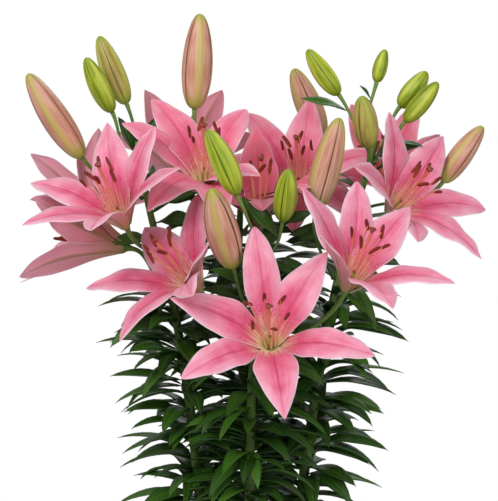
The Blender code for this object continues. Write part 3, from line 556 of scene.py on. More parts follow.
def petal_midrib(flower, k, t, steps):
    """Axis, radial and side directions of petal k, then its lean, distance from the axis and height at t.

    The lean from the axis goes from the opening angle to its end by the power 1.1 of t. The distance and the
    height are the integrals of its sine and its cosine, added up in so many steps.
    """
    axis, up, right = facing(*flower["face"])
    phi = np.radians(petal_angle(flower, k))
    radial = np.cos(phi) * up + np.sin(phi) * right
    side = np.cos(phi) * right - np.sin(phi) * up
    start, end = flower["open"]
    fine = np.linspace(0, 1, steps + 1)
    lean = np.radians(start + (end + flower["curl"][k] - start) * fine ** 1.1)
    step = (flower["length"] + flower["reach"][k]) / steps
    out, rise = (np.concatenate(([0], np.cumsum((part[1:] + part[:-1]) / 2 * step)))
                 for part in (np.sin(lean), np.cos(lean)))
    return axis, radial, side, *(np.interp(t, fine, values) for values in (lean, RING_RADIUS + out, rise))


def full_half_width(t, widest, broad):
    """Half width of a living petal: wide from the foot on, and drawn to a finer point in the broad whorl."""
    peak = 0.37 if broad else 0.45
    rise = 0.50 + 0.50 * np.sin(np.pi / 2 * np.clip(t / peak, 0, 1)) ** 0.9
    x = np.clip((t - peak) / (1 - peak), 0, 1)
    fall = (1 - x ** 1.9) ** 0.95 if broad else (1 - x ** 2.3) ** 0.8
    return FULLER * widest * rise * fall


def ease(value, low, high):
    """Smooth step from 0 at low to 1 at high: 3x squared minus 2x cubed."""
    x = np.clip((value - low) / (high - low), 0, 1)
    return x * x * (3 - 2 * x)


print("a broad petal is", round(2 * float(full_half_width(0.37, INNER_HALF_WIDTH, True)), 1), "mm wide")

# %% One petal
def petal_skin(flower, k, young, random):
    """Skin of petal k as (rows, around, 3), with its values along, across, inside, tone and young.

    Height above the midrib is half width times (0.26 * |u| softened at the middle, less (0.10 + 0.20 * t)
    * |u| cubed), plus a wave that grows towards the edge, less a groove along the middle. The blade is 1 mm
    thick at its foot and half that at its tip, and its edges are a third as thick as its middle.
    """
    t = 1 - (1 - np.linspace(0, 1, PETAL_ROWS)) ** 1.35
    axis, radial, side, *bend = petal_midrib(flower, k, t, 160)
    lean, out, rise = (values[:, None] for values in bend)
    t = t[:, None]
    broad = k % 2 == flower["broad"]
    half = full_half_width(t, INNER_HALF_WIDTH if broad else OUTER_HALF_WIDTH, broad)
    face = np.sin(np.linspace(-1, 1, FACE_POINTS) * 1.3) / np.sin(1.3)
    u = np.concatenate((face, face[::-1]))[None, :]
    inside = np.concatenate((np.ones(FACE_POINTS), np.zeros(FACE_POINTS)))[None, :]
    across = u * half
    upright = np.clip(np.cos(lean) / np.cos(np.radians(flower["open"][0])), 0, 1)
    funnel = upright ** 2.5 * (1 - ease(t, 0.15, 0.5))
    turn = 1.15 * np.tanh(across / out / 1.15) * funnel
    pulled = out * (1 - np.cos(turn))
    sideways = funnel * out * np.sin(turn) + (1 - funnel) * across
    soft = np.sqrt(u * u + 0.012) - 0.11
    wave_turns = (flower["length"] + flower["reach"][k]) / random.uniform(*WAVE_LENGTHS)
    phase = 2 * np.pi * (wave_turns * t + random.uniform(0, 1))
    waves = np.sin(phase + np.sign(u) * random.uniform(0.4, 1.6))
    wave = (random.uniform(*WAVE_HEIGHTS) * waves * abs(u) ** 2.5
            * ease(t, 0.15, 0.5) * (1 - ease(t, 0.85, 1.0)))
    gull = half * (0.26 * soft - (0.10 + 0.20 * t) * abs(u) ** 3) * ease(t, 0.05, 0.4)
    groove = np.exp(-(across / GROOVE_WIDTH) ** 2) * ease(t, 0.0, 0.08) * (1 - ease(t, 0.8, 1.0))
    thick = (1.0 - 0.45 * t) * (1 - 0.68 * u * u)
    ridge = RIDGE_HEIGHTS[broad] * np.exp(-(across / RIDGE_WIDTH) ** 2) * (1 - ease(t, 0.55, 1.0))
    face_side = thick / 2 - GROOVE_DEPTH * groove
    lift = gull + wave + np.where(inside > 0, face_side, -thick / 2 - ridge - 0.25 * groove)
    lift = lift + (WHORL_GAP if broad else -WHORL_GAP) * (1 - ease(t, 0.3, 0.6))
    twist = np.radians(random.uniform(-7, 7)) * ease(t, 0.35, 1.0)
    turned = sideways * np.cos(twist) - lift * np.sin(twist)
    lift = lift * np.cos(twist) + sideways * np.sin(twist)
    sideways = turned + random.uniform(-1.6, 1.6) * t * t
    axis_part = rise + lift * np.sin(lean)
    radial_part = out - pulled - lift * np.cos(lean)
    points = (np.asarray(flower["base"], float) + axis_part[..., None] * axis
              + radial_part[..., None] * radial + sideways[..., None] * side)
    values = dict(along=t, across=u, inside=inside, tone=random.uniform(0, 1), young=young)
    return points, {key: np.broadcast_to(value, points.shape[:2]) for key, value in values.items()}


def make_petals(name, flower, random):
    """The six petals of a flower as one piece."""
    skins = [petal_skin(flower, k, YOUNG_FLOWERS.get(name, 0.0), random) for k in range(6)]
    points = np.stack([skin[0] for skin in skins])
    values = {key: np.stack([skin[1][key] for skin in skins]) for key in skins[0][1]}
    return make_piece(f"flower_{name}_petals", [tube_part(points, values)], [LILY_PETAL],
                      [f"petals_{name}"])


petal_random = np.random.default_rng(21)
petal_pieces = [make_petals(name, flower, petal_random) for name, flower in FLOWERS.items()]
print(len(petal_pieces), "flowers,", sum(len(piece.data.polygons) for piece in petal_pieces), "petal faces")

# %% [markdown]
# ## Stalks, pistils and stamens
# In the middle of a lily stand a green three-sided ovary with a long style and a three-lobed stigma, and
# round it six filaments, each with a long anther pinned at its middle. The anthers here are closed and
# dark, before they burst into rusty pollen. They are all round or ribbed outlines carried along curves.

# %% Materials of the flower's middle
def flower_part_material(name, low, high, roughness, grain, depth):
    """A fleshy plant part: colour from foot to end, mottled, with a grain of so many millimetres."""
    made, node, shader = new_material(name, Roughness=roughness, Specular_IOR_Level=0.4)
    along = node("Attribute", out="Fac", attribute_name="along")
    place = node("TexCoord", out="Object")
    mottle = node("TexNoise", {"Vector": place, "Scale": 220.0, "Detail": 3.0})
    fine = node("TexNoise", {"Vector": place, "Scale": 1000.0 / grain, "Detail": 2.0})
    share = node("Math MULTIPLY_ADD", node("Math SUBTRACT", mottle, 0.5), 0.7, along)
    node("ValToRGB", share, stops=((0.0, low), (1.0, high)), to=shader.inputs["Base Color"])
    node("Bump", {"Height": fine, "Strength": 0.5, "Distance": depth}, to=shader.inputs["Normal"])
    return made


STALK_SKIN = flower_part_material("lily_stalk_skin", "#3e5a22", "#6f8f3c", 0.45, 1.5, 0.0002)
OVARY_SKIN = flower_part_material("lily_ovary_skin", "#9aa64e", "#b9b866", 0.45, 1.5, 0.0002)
STYLE_SKIN = flower_part_material("lily_style_flesh", "#ecaa90", "#e2725f", 0.4, 1.5, 0.0001)
STIGMA_SKIN = flower_part_material("lily_stigma_flesh", "#a85238", "#7d3424", 0.35, 0.8, 0.0003)
FILAMENT_SKIN = flower_part_material("lily_filament_flesh", "#f6d3b4", "#dd7858", 0.4, 1.5, 0.0001)
ANTHER_SKIN = flower_part_material("lily_anther_skin", "#9e3b24", "#702317", 0.7, 0.5, 0.0004)
print("six skins, from", STALK_SKIN.name, "to", ANTHER_SKIN.name)

# %% Stalks with their receptacles
STALK_ROWS = 30
HEAD_STEPS = np.array((-5.0, -3.2, -1.6, -0.4, 0.6, 1.6, 2.4))
HEAD_RADII = np.array((2.3, 2.9, 3.7, 4.6, 4.9, 4.4, 3.0))


def make_stalk(name, flower):
    """A flower's stalk: a slender tube along its curve that flares into the receptacle under the petals."""
    axis, up, right = facing(*flower["face"])
    line = flower_stalk(flower, STALK_ROWS)
    base = np.asarray(flower["base"], float)
    spine = np.vstack((line, base + HEAD_STEPS[:, None] * axis))
    share = np.linspace(0, 1, STALK_ROWS)
    slender = STALK_RADIUS * (0.92 + 0.3 * np.exp(-share / 0.04) + 0.2 * share ** 4)
    radii = np.concatenate((slender, HEAD_RADII))
    sides, across = carried_frames(spine, right)
    points = swept(spine, sides, across, round_outline(radii, 14, 6, 0.03))[None]
    values = dict(along=np.linspace(0, 1, len(spine))[None, :, None])
    return make_piece(f"flower_{name}_stalk", [tube_part(points, values)], [STALK_SKIN],
                      [f"stalk_{name}"])


stalk_pieces = [make_stalk(name, flower) for name, flower in FLOWERS.items()]
print(len(stalk_pieces), "stalks")

# %% Pistils
OVARY_LENGTH = 16.0
PISTIL_LENGTH = 60.0
OVARY_ROWS = 10
STYLE_ROWS = 16
STIGMA_RADII = (1.6, 2.1, 2.5, 2.7, 2.6, 2.2, 1.5, 0.7)


def bowed(base, axis, bow_way, steps, bow):
    """A line from the base along the axis that bows sideways by bow times the square of its share."""
    share = steps / steps[-1]
    return base + steps[:, None] * axis + (bow * share ** 2)[:, None] * bow_way


def make_pistil(name, flower, random):
    """Ovary of three lobes, a style that thickens towards its end, and a stigma of three lobes."""
    axis, up, right = facing(*flower["face"])
    base = np.asarray(flower["base"], float)
    bow_way = -np.cross(axis, np.cross(axis, np.array((0, 0, 1.0))))
    bow_way = unit(bow_way + 1e-6)
    bow = random.uniform(1.0, 3.5)
    stigma_rows = len(STIGMA_RADII)
    steps = np.concatenate((np.linspace(0, OVARY_LENGTH, OVARY_ROWS),
                            np.linspace(OVARY_LENGTH + 3, PISTIL_LENGTH - 4, STYLE_ROWS),
                            np.linspace(PISTIL_LENGTH - 3, PISTIL_LENGTH, stigma_rows)))
    line = bowed(base, axis, bow_way, steps, bow)
    sides, across = carried_frames(line, right)
    ovary = 2.7 * np.sin(np.pi * np.clip(0.16 + 0.74 * steps[:OVARY_ROWS] / OVARY_LENGTH, 0, 1)) ** 0.6
    style = 0.9 + 0.45 * np.linspace(0, 1, STYLE_ROWS) ** 1.5
    lobes = np.concatenate((np.full(OVARY_ROWS, 0.10), np.linspace(0.05, 0.12, STYLE_ROWS),
                            np.full(stigma_rows, 0.20)))
    swell = (np.concatenate((ovary, style, STIGMA_RADII))[:, None]
             * (1 + lobes[:, None] * np.cos(3 * ring_angles(18))))
    rings = swept(line, sides, across, outline_of(swell))
    top = OVARY_ROWS + STYLE_ROWS
    parts = []
    for first, last in ((0, OVARY_ROWS + 1), (OVARY_ROWS - 1, top + 1), (top - 1, len(steps))):
        share = np.linspace(0, 1, last - first)[None, :, None]
        parts.append(tube_part(rings[None, first:last], dict(along=share)))
    return make_piece(f"flower_{name}_pistil", parts, [OVARY_SKIN, STYLE_SKIN, STIGMA_SKIN],
                      [f"stalk_{name}"])


middle_random = np.random.default_rng(5)
pistil_pieces = [make_pistil(name, flower, middle_random) for name, flower in FLOWERS.items()]
print(len(pistil_pieces), "pistils")

# %% Stamens
STAMEN_LENGTH = 52.0
ANTHER_LENGTH = 12.0
FILAMENT_FOOT = 3.3
FILAMENT_ROWS = 14
ANTHER_ROWS = 12


def make_stamens(name, flower, random):
    """Six filaments that bow outwards, each with an anther of two pollen sacs pinned at its middle."""
    axis, up, right = facing(*flower["face"])
    base = np.asarray(flower["base"], float)
    phi = np.radians(flower["roll"] + 60 * np.arange(6) + random.uniform(-6, 6, 6))
    radial = np.cos(phi)[:, None] * up + np.sin(phi)[:, None] * right
    tangent = np.cos(phi)[:, None] * right - np.sin(phi)[:, None] * up
    lean = np.radians(0.34 * flower["open"][0] + random.uniform(-3, 4, 6))[:, None]
    length = STAMEN_LENGTH * random.uniform(0.93, 1.03, 6)[:, None]
    share = np.linspace(0, 1, FILAMENT_ROWS)[None, :]
    angle = lean * (0.45 + 0.9 * share)
    step = length / (FILAMENT_ROWS - 1)
    forward = np.cumsum(np.cos(angle) * step, axis=1) - np.cos(angle[:, :1]) * step + 1.5
    outward = np.cumsum(np.sin(angle) * step, axis=1) - np.sin(angle[:, :1]) * step + FILAMENT_FOOT
    line = base + forward[..., None] * axis + outward[..., None] * radial[:, None, :]
    ways = tangents(line)
    sides = np.broadcast_to(tangent[:, None, :], line.shape)
    normals = np.cross(ways, sides)
    radii = np.broadcast_to(1.0 - 0.5 * share, (6, FILAMENT_ROWS))
    filaments = tube_part(swept(line, sides, normals, round_outline(radii, 8)), dict(along=share[..., None]))
    tilt = random.uniform(-0.55, 0.55, 6)[:, None]
    pitch = random.uniform(-0.35, 0.5, 6)[:, None]
    end, way, normal = line[:, -1], ways[:, -1], normals[:, -1]
    course = unit(way + np.tan(tilt) * tangent + np.tan(pitch) * normal)
    beside = unit(np.cross(course, normal))
    above = np.cross(beside, course)
    run = np.linspace(-0.5, 0.5, ANTHER_ROWS)[None, :]
    centre = (end[:, None] + ANTHER_LENGTH * run[..., None] * course[:, None]
              + (0.9 + 1.6 * run ** 2)[..., None] * above[:, None])
    half = 1.6 * (1 - (2 * abs(run)) ** 3.2 * 0.75) ** 0.5
    angles = ring_angles(12)
    sacs = half[..., None] * (1 - 0.30 * abs(np.cos(angles)) ** 6 + 0.12 * np.cos(2 * angles))
    outline = np.stack((sacs * np.sin(angles) * 1.1, sacs * np.cos(angles) * 0.85), axis=-1)
    rings = swept(centre, beside[:, None], above[:, None], outline)
    anthers = tube_part(rings, dict(along=run[..., None] + 0.5))
    return make_piece(f"flower_{name}_stamens", [filaments, anthers], [FILAMENT_SKIN, ANTHER_SKIN],
                      [f"stalk_{name}"])


stamen_pieces = [make_stamens(name, flower, middle_random) for name, flower in FLOWERS.items()]
print(len(stamen_pieces), "sets of stamens")

# %% [markdown]
# ## Buds
# A bud is three outer petals closed edge to edge: three seams, three raised midribs, and fine ribs along
# the length. Green buds are still filling, and some are turning. Ripe ones blush to a dusty tan pink
# between the olive midribs, and their seams darken. The section round a bud carries all of that as one
# outline, and the profile along it is the sine of a stretched share, to the power 0.46, which is blunt at
# the foot and drawn to the tip.

# %% Bud materials
def bud_material(name, flank, flank_light, blush, midrib, seam, tips):
    """Waxy bud skin: flank colour, lighter streaks, blushed patches, midribs, dark seams and green ends."""
    made, node, shader = new_material(name, Roughness=0.42, Specular_IOR_Level=0.42)
    along, around, tone = (node("Attribute", out="Fac", attribute_name=key)
                           for key in ("along", "seam", "tone"))
    # Fine ribs: 9 cells from seam to midrib on a flank of about 11 mm is a rib each 1.2 mm.
    place = node("CombineXYZ", around, along, tone)
    stretched = node("VectorMath MULTIPLY", place, (9.0, 2.0, 31.0))
    ribs = node("TexNoise", {"Vector": stretched, "Scale": 1.0, "Detail": 2.0})
    skin = node("Mix RGBA", node(SMOOTH, ribs, 0.35, 0.65), flank, flank_light)
    # Uneven blush: soft patches, about a third of the bud long, where the flank is already darker.
    wide = node("VectorMath MULTIPLY", place, (1.6, 3.0, 23.0))
    clouds = node("TexNoise", {"Vector": wide, "Scale": 1.0, "Detail": 2.0})
    patches = node(SMOOTH, clouds, 0.42, 0.66, 0.0, 0.42)
    skin = node("Mix RGBA", patches, skin, blush)
    crest = node("Math MULTIPLY", node(SMOOTH, around, 0.55, 0.98), 0.8)
    skin = node("Mix RGBA", crest, skin, midrib)
    ends = node("Math MAXIMUM", node(SMOOTH, along, 0.02, 0.24, 0.9, 0.0),
                node(SMOOTH, along, 0.86, 1.0, 0.0, 0.85))
    skin = node("Mix RGBA", ends, skin, tips)
    line = node("Math MULTIPLY", node(SMOOTH, around, 0.035, 0.10, 1.0, 0.0),
                node(SMOOTH, along, 0.0, 0.14, 0.4, 0.95))
    node("Mix RGBA", line, skin, seam, to=shader.inputs["Base Color"])
    node("Bump", {"Height": ribs, "Strength": 0.5, "Distance": 0.0005}, to=shader.inputs["Normal"])
    return made


BUD_FINISHES = {
    "ripe": bud_material("lily_bud_ripe_skin", "#c98d75", "#dcae98", "#a9634a", "#bfb25a", "#5a3017",
                         "#a9a940"),
    "turning": bud_material("lily_bud_turning_skin", "#a3923f", "#bfb563", "#8c6f35", "#b9c254", "#4b3614",
                            "#93a634"),
    "green": bud_material("lily_bud_green_skin", "#879d18", "#b0bc2e", "#64850f", "#ccd254", "#3c4c08",
                          "#869a1c"),
}
print("bud skins", list(BUD_FINISHES))

# %% Bud shapes
BUD_ROWS = 34
BUD_AROUND = 48
BUD_STALK_ROWS = 24
SEAM_TURN = 2 * np.pi / 3


def make_bud(name, bud, random):
    """A bud on its stalk: a ribbed outline carried along a slightly bowed line from foot to tip."""
    foot, tip = np.asarray(bud["foot"], float), np.asarray(bud["tip"], float)
    length = float(np.linalg.norm(tip - foot))
    axis = (tip - foot) / length
    stalk = bud_stalk(bud, BUD_STALK_ROWS)
    t = 0.5 - 0.5 * np.cos(np.pi * np.linspace(0.03, 0.985, BUD_ROWS))
    side = unit(np.cross(axis, (0.3, 1.0, 0.1)))
    bow = random.uniform(-1, 1) * 0.018 * length
    line = foot + t[:, None] * (tip - foot) + (bow * np.sin(np.pi * t))[:, None] * side
    sides, across = carried_frames(line, side)
    profile = np.sin(np.pi * t ** 0.82) ** 0.46
    turn = random.uniform(0, SEAM_TURN)
    off_seam = abs((ring_angles(BUD_AROUND) - turn + SEAM_TURN / 2) % SEAM_TURN - SEAM_TURN / 2)
    seam_depth = 0.055 * np.exp(-(off_seam / 0.10) ** 2) - 0.03 * np.exp(-((off_seam - 0.26) / 0.14) ** 2)
    crest = 0.05 * np.exp(-((off_seam - SEAM_TURN / 2) / 0.20) ** 2)
    dip = 0.02 * np.exp(-((off_seam - 0.68) / 0.14) ** 2)
    section = 1 - seam_depth + crest - dip
    lobing = 0.5 + 0.5 * ease(t, 0.0, 0.3) + 0.9 * ease(t, 0.8, 1.0)
    radius = bud["width"] / 2 * 0.97 * profile[:, None] * (1 + (section - 1) * lobing[:, None])
    body = tube_part(swept(line, sides, across, outline_of(radius))[None], dict(
        along=t[None, :, None], seam=off_seam / (SEAM_TURN / 2), tone=random.uniform(0, 1)))
    stalk_sides, stalk_across = carried_frames(stalk, side)
    share = np.linspace(0, 1, BUD_STALK_ROWS)
    radii = BUD_STALK_RADIUS * (0.84 + 0.4 * np.exp(-share / 0.05) + 0.5 * share ** 8)
    tube = tube_part(swept(stalk, stalk_sides, stalk_across, round_outline(radii, 12))[None], dict(
        along=share[None, :, None], seam=0.5, tone=0.5))
    stage = "ripe" if name in RIPE_BUDS else "turning" if name in TURNING_BUDS else "green"
    return make_piece(f"bud_{name}_skin", [body, tube], [BUD_FINISHES[stage], STALK_SKIN],
                      [f"bud_{name}"])


bud_random = np.random.default_rng(9)
bud_pieces = [make_bud(name, bud, bud_random) for name, bud in BUDS.items()]
print(len(bud_pieces), "buds,", sum(len(piece.data.polygons) for piece in bud_pieces), "faces")

# %% [markdown]
# ## Where the leaves grow
# Lily leaves stand in a dense spiral, each turned by the golden angle from the last. The CAD model grows
# each leaf only as long as the room round it allows. The same rules are followed here, and then a second
# spiral of extra leaves fills the gaps that the CAD model left, because a living stem is denser than a
# model for physics needs.

# %% One leaf in the plan
ROW_HEIGHT = 7.2  # of the spiral
LEAF_LOW = 146.0
LEAF_LENGTH = 60.0
LEAF_WIDTH = 12.0
LEAF_STATIONS = np.linspace(0.12, 1, 12)
LEAF_STEPS = 40


def level_way(azimuth):
    """Level direction at an azimuth in degrees, counted from +X."""
    a = np.radians(azimuth)
    return np.array((np.cos(a), np.sin(a), 0.0))


def leaf_curve(start, azimuth, length, rise, droop, t):
    """Midrib points and directions at t along a leaf that leaves at angle rise and ends at -droop."""
    fine = np.linspace(0, 1, LEAF_STEPS + 1)
    tilt = np.radians(rise - (rise + droop) * fine ** 0.9)
    ways = np.cos(tilt)[:, None] * level_way(azimuth) + np.sin(tilt)[:, None] * np.array((0, 0, 1.0))
    steps = (ways[1:] + ways[:-1]) / 2 * length / LEAF_STEPS
    line = start + np.vstack((np.zeros(3), np.cumsum(steps, axis=0)))
    return points_at(t, fine, line), points_at(t, fine, ways)


def leaf_half_width(t, width):
    """Half width at t along a lance-shaped leaf."""
    return width / 2 * np.sin(np.pi * np.clip(t, 0, 1) ** 0.75) ** 0.85 * (1 - 0.15 * t) + 0.25


def leaf_samples(leaf):
    """Points on the midrib and near both edges of a leaf."""
    t = LEAF_STATIONS
    points, ways = leaf_curve(leaf["start"], leaf["azimuth"], leaf["length"], leaf["rise"], leaf["droop"], t)
    side = unit(np.cross(ways, (0, 0, 1.0)))
    half = leaf_half_width(t, leaf["width"])[:, None]
    return np.vstack((points, points - 0.8 * half * side, points + 0.8 * half * side))


print("a leaf is about", LEAF_LENGTH, "mm long and", LEAF_WIDTH, "mm wide")

# %% What leaves have to miss
PETAL_CUP = 0.25
PETAL_GAP = 0.8


def petal_half_width(t, widest):
    """Half width at t along a petal: a narrow claw, widest a little past the middle, a pointed tip."""
    rise = 0.3 + 0.7 * np.sin(np.pi / 2 * np.clip(t / 0.52, 0, 1)) ** 1.3
    fall = (1 - np.clip((t - 0.52) / 0.48, 0, 1) ** 2.2) ** 0.75
    return widest * rise * fall


def petal_surface(flower, k, t, u):
    """Points of petal k at t along it and u across it (-1 to 1), as an array (len(t), len(u), 3).

    The midrib leaves the ring at the flower's opening angle and curls outwards by the power 1.1 of t. The
    blade rises towards its sides with the square of u. Near its foot it keeps within its share of the ring.
    """
    axis, radial, side, lean, out, rise = petal_midrib(flower, k, t, 80)
    midrib = np.asarray(flower["base"], float) + out[:, None] * radial + rise[:, None] * axis
    inward = np.sin(lean)[:, None] * axis - np.cos(lean)[:, None] * radial
    widest = INNER_HALF_WIDTH if k % 2 == flower["broad"] else OUTER_HALF_WIDTH
    width = petal_half_width(t, widest)
    before = (petal_angle(flower, k) - petal_angle(flower, (k - 1) % 6)) % 360 / 2
    after = (petal_angle(flower, (k + 1) % 6) - petal_angle(flower, k)) % 360 / 2
    cup = PETAL_CUP * (1 - 0.7 * t)
    places = []
    for position in u:
        share = np.radians(before if position < 0 else after)
        room = out * np.tan(min(share, 0.8)) - PETAL_GAP
        half = np.minimum(width, room) * abs(position)
        shift = np.sign(position) * half[:, None] * side
        places.append(midrib + shift + (half * abs(position) * cup)[:, None] * inward)
    return np.stack(places, axis=1)


def solid_samples():
    """Points on everything that a leaf has to miss: petals, stalks, buds and stems."""
    samples = []
    for flower in FLOWERS.values():
        for k in range(6):
            sheet = petal_surface(flower, k, np.linspace(0.05, 1, 16), (-1, -0.5, 0, 0.5, 1))
            samples.append(sheet.reshape(-1, 3))
        samples.append(flower_stalk(flower, 40))
    for bud in BUDS.values():
        samples.append(bud_stalk(bud, 40))
        foot, tip = np.asarray(bud["foot"], float), np.asarray(bud["tip"], float)
        for angle in np.linspace(0, 2 * np.pi, 6, endpoint=False):
            axis = unit(tip - foot)
            side = unit(np.cross(axis, (0.0, 1.0, 0.2)))
            across = np.cos(angle) * side + np.sin(angle) * np.cross(axis, side)
            t = np.linspace(0.1, 0.95, 12)[:, None]
            samples.append(foot + (tip - foot) * t + across * bud["width"] * 0.45)
    return np.vstack(samples)


def stem_samples(name):
    """Points on a stem's surface."""
    line = resample(stem_line(name), 90)
    angles = np.arange(8)[:, None, None] * np.pi / 4
    around = np.cos(angles) * np.array((1.0, 0, 0)) + np.sin(angles) * np.array((0, 1.0, 0))
    return (line + around * stem_radius(line[:, 2], line[-1, 2])[:, None]).reshape(-1, 3)


def fork_points():
    """Where the stalks leave the stems."""
    flowers = [flower_stalk(flower, 3)[0] for flower in FLOWERS.values()]
    return np.array(flowers + [bud_stalk(bud, 3)[0] for bud in BUDS.values()])


solid_points = solid_samples()
print(len(solid_points), "points on petals, stalks and buds")

# %% Room for one leaf
LEAF_CLEARANCE = 4.2
EXTRA_CLEARANCE = 1.3


def fit_leaf(name, height, azimuth, length, width, rise, droop, taken, solids, room=LEAF_CLEARANCE):
    """The leaf, shortened until it clears everything around it, or None where there is no room."""
    line = stem_line(name)
    centre = line[np.argmin(abs(line[:, 2] - height))]
    radius = stem_radius(height, line[-1, 2])
    others = np.vstack([points for stem in taken if stem != name for points in taken[stem]] + [solids])
    own = np.vstack(taken[name][1:]) if len(taken[name]) > 1 else np.zeros((0, 3))
    start = centre + radius * level_way(azimuth)
    for share in (1.0, 0.8, 0.62, 0.46):
        leaf = dict(start=start, height=height, azimuth=azimuth, length=length * share,
                    width=width * share ** 0.5, rise=rise, droop=droop)
        points = leaf_samples(leaf)
        far = points[np.tile(LEAF_STATIONS > 0.35, 3)]
        clear = nearest(points, others) > room
        if clear and (len(own) == 0 or nearest(far, own) > room * 0.6):
            return leaf
    return None


def nearest(points, others):
    """Smallest distance between two sets of points."""
    close = others[np.all(abs(others - points.mean(axis=0)) < 75, axis=1)]
    if len(close) == 0:
        return 1e9
    return np.sqrt(((points[:, None] - close[None]) ** 2).sum(axis=2).min())


print("leaves keep", LEAF_CLEARANCE, "mm apart, and extra ones", EXTRA_CLEARANCE, "mm")

# %% The spiral of leaves
GOLDEN_ANGLE = 137.5
FORK_CLEARANCE = 9.0
UPPER_ROW = 1000  # sorts the leaves placed one by one behind the rows of the spiral


def plan_leaves(solids):
    """Every stem's leaves, in one fixed order, each kept only as long as the room around it allows."""
    random = np.random.default_rng(7)
    forks = fork_points()
    taken = {name: [stem_samples(name)] for name in STEMS}
    plan = {name: [] for name in STEMS}
    candidates = []
    for index, (name, stem) in enumerate(STEMS.items()):
        rows = int((stem["leafy"] - LEAF_LOW) / ROW_HEIGHT)
        for row in range(rows):
            for pair in range(2):
                candidates.append((row, index, name, LEAF_LOW + row * ROW_HEIGHT, pair))
        for upper in stem["upper"]:
            candidates.append((UPPER_ROW, index, name, *upper))
    for candidate in sorted(candidates, key=lambda item: item[:2]):
        if candidate[0] == UPPER_ROW:
            _, index, name, height, azimuth, length, rise = candidate
            width, droop = 0.36 * length, 5 - rise
        else:
            row, index, name, height, pair = candidate
            azimuth = (row * GOLDEN_ANGLE + pair * 180 + index * 47) % 360 + random.uniform(-9, 9)
            length = LEAF_LENGTH * random.uniform(0.86, 1.14)
            width = LEAF_WIDTH * random.uniform(0.88, 1.14)
            rise, droop = random.uniform(22, 42), random.uniform(12, 34)
        leaf = fit_leaf(name, height, azimuth, length, width, rise, droop, taken, solids)
        if leaf and np.linalg.norm(forks - leaf["start"], axis=1).min() > FORK_CLEARANCE:
            plan[name].append(leaf)
            taken[name].append(leaf_samples(leaf))
    return plan


leaf_plan = plan_leaves(solid_points)
print("CAD leaves", {name: len(leaves) for name, leaves in leaf_plan.items()})

# %% Extra leaves
EXTRA_WIDTH = 14.5


def plan_extra_leaves(plan, solids):
    """A second spiral halfway between the first one's rows, which may pass closer to its neighbours."""
    random = np.random.default_rng(11)
    taken = {name: [stem_samples(name)] + [leaf_samples(leaf) for leaf in plan[name]] for name in STEMS}
    extra = {name: [] for name in STEMS}
    for index, (name, stem) in enumerate(STEMS.items()):
        rows = int((stem["leafy"] - LEAF_LOW) / ROW_HEIGHT) + 2
        for row in range(rows):
            for third in range(3):
                height = LEAF_LOW - 0.5 * ROW_HEIGHT + row * ROW_HEIGHT + 2 * third
                azimuth = (row * GOLDEN_ANGLE + third * 120 + index * 47 + 70) % 360 + random.uniform(-14, 14)
                length = LEAF_LENGTH * random.uniform(0.84, 1.10)
                width = EXTRA_WIDTH * random.uniform(0.84, 1.12)
                leaf = fit_leaf(name, height, azimuth, length, width, random.uniform(8, 40),
                                random.uniform(20, 62), taken, solids, EXTRA_CLEARANCE)
                if leaf:
                    extra[name].append(leaf)
                    taken[name].append(leaf_samples(leaf))
    return extra


extra_leaves = plan_extra_leaves(leaf_plan, solid_points)
print("extra leaves", {name: len(leaves) for name, leaves in extra_leaves.items()})

# %% Bracts
BRACT_LEAN = 48

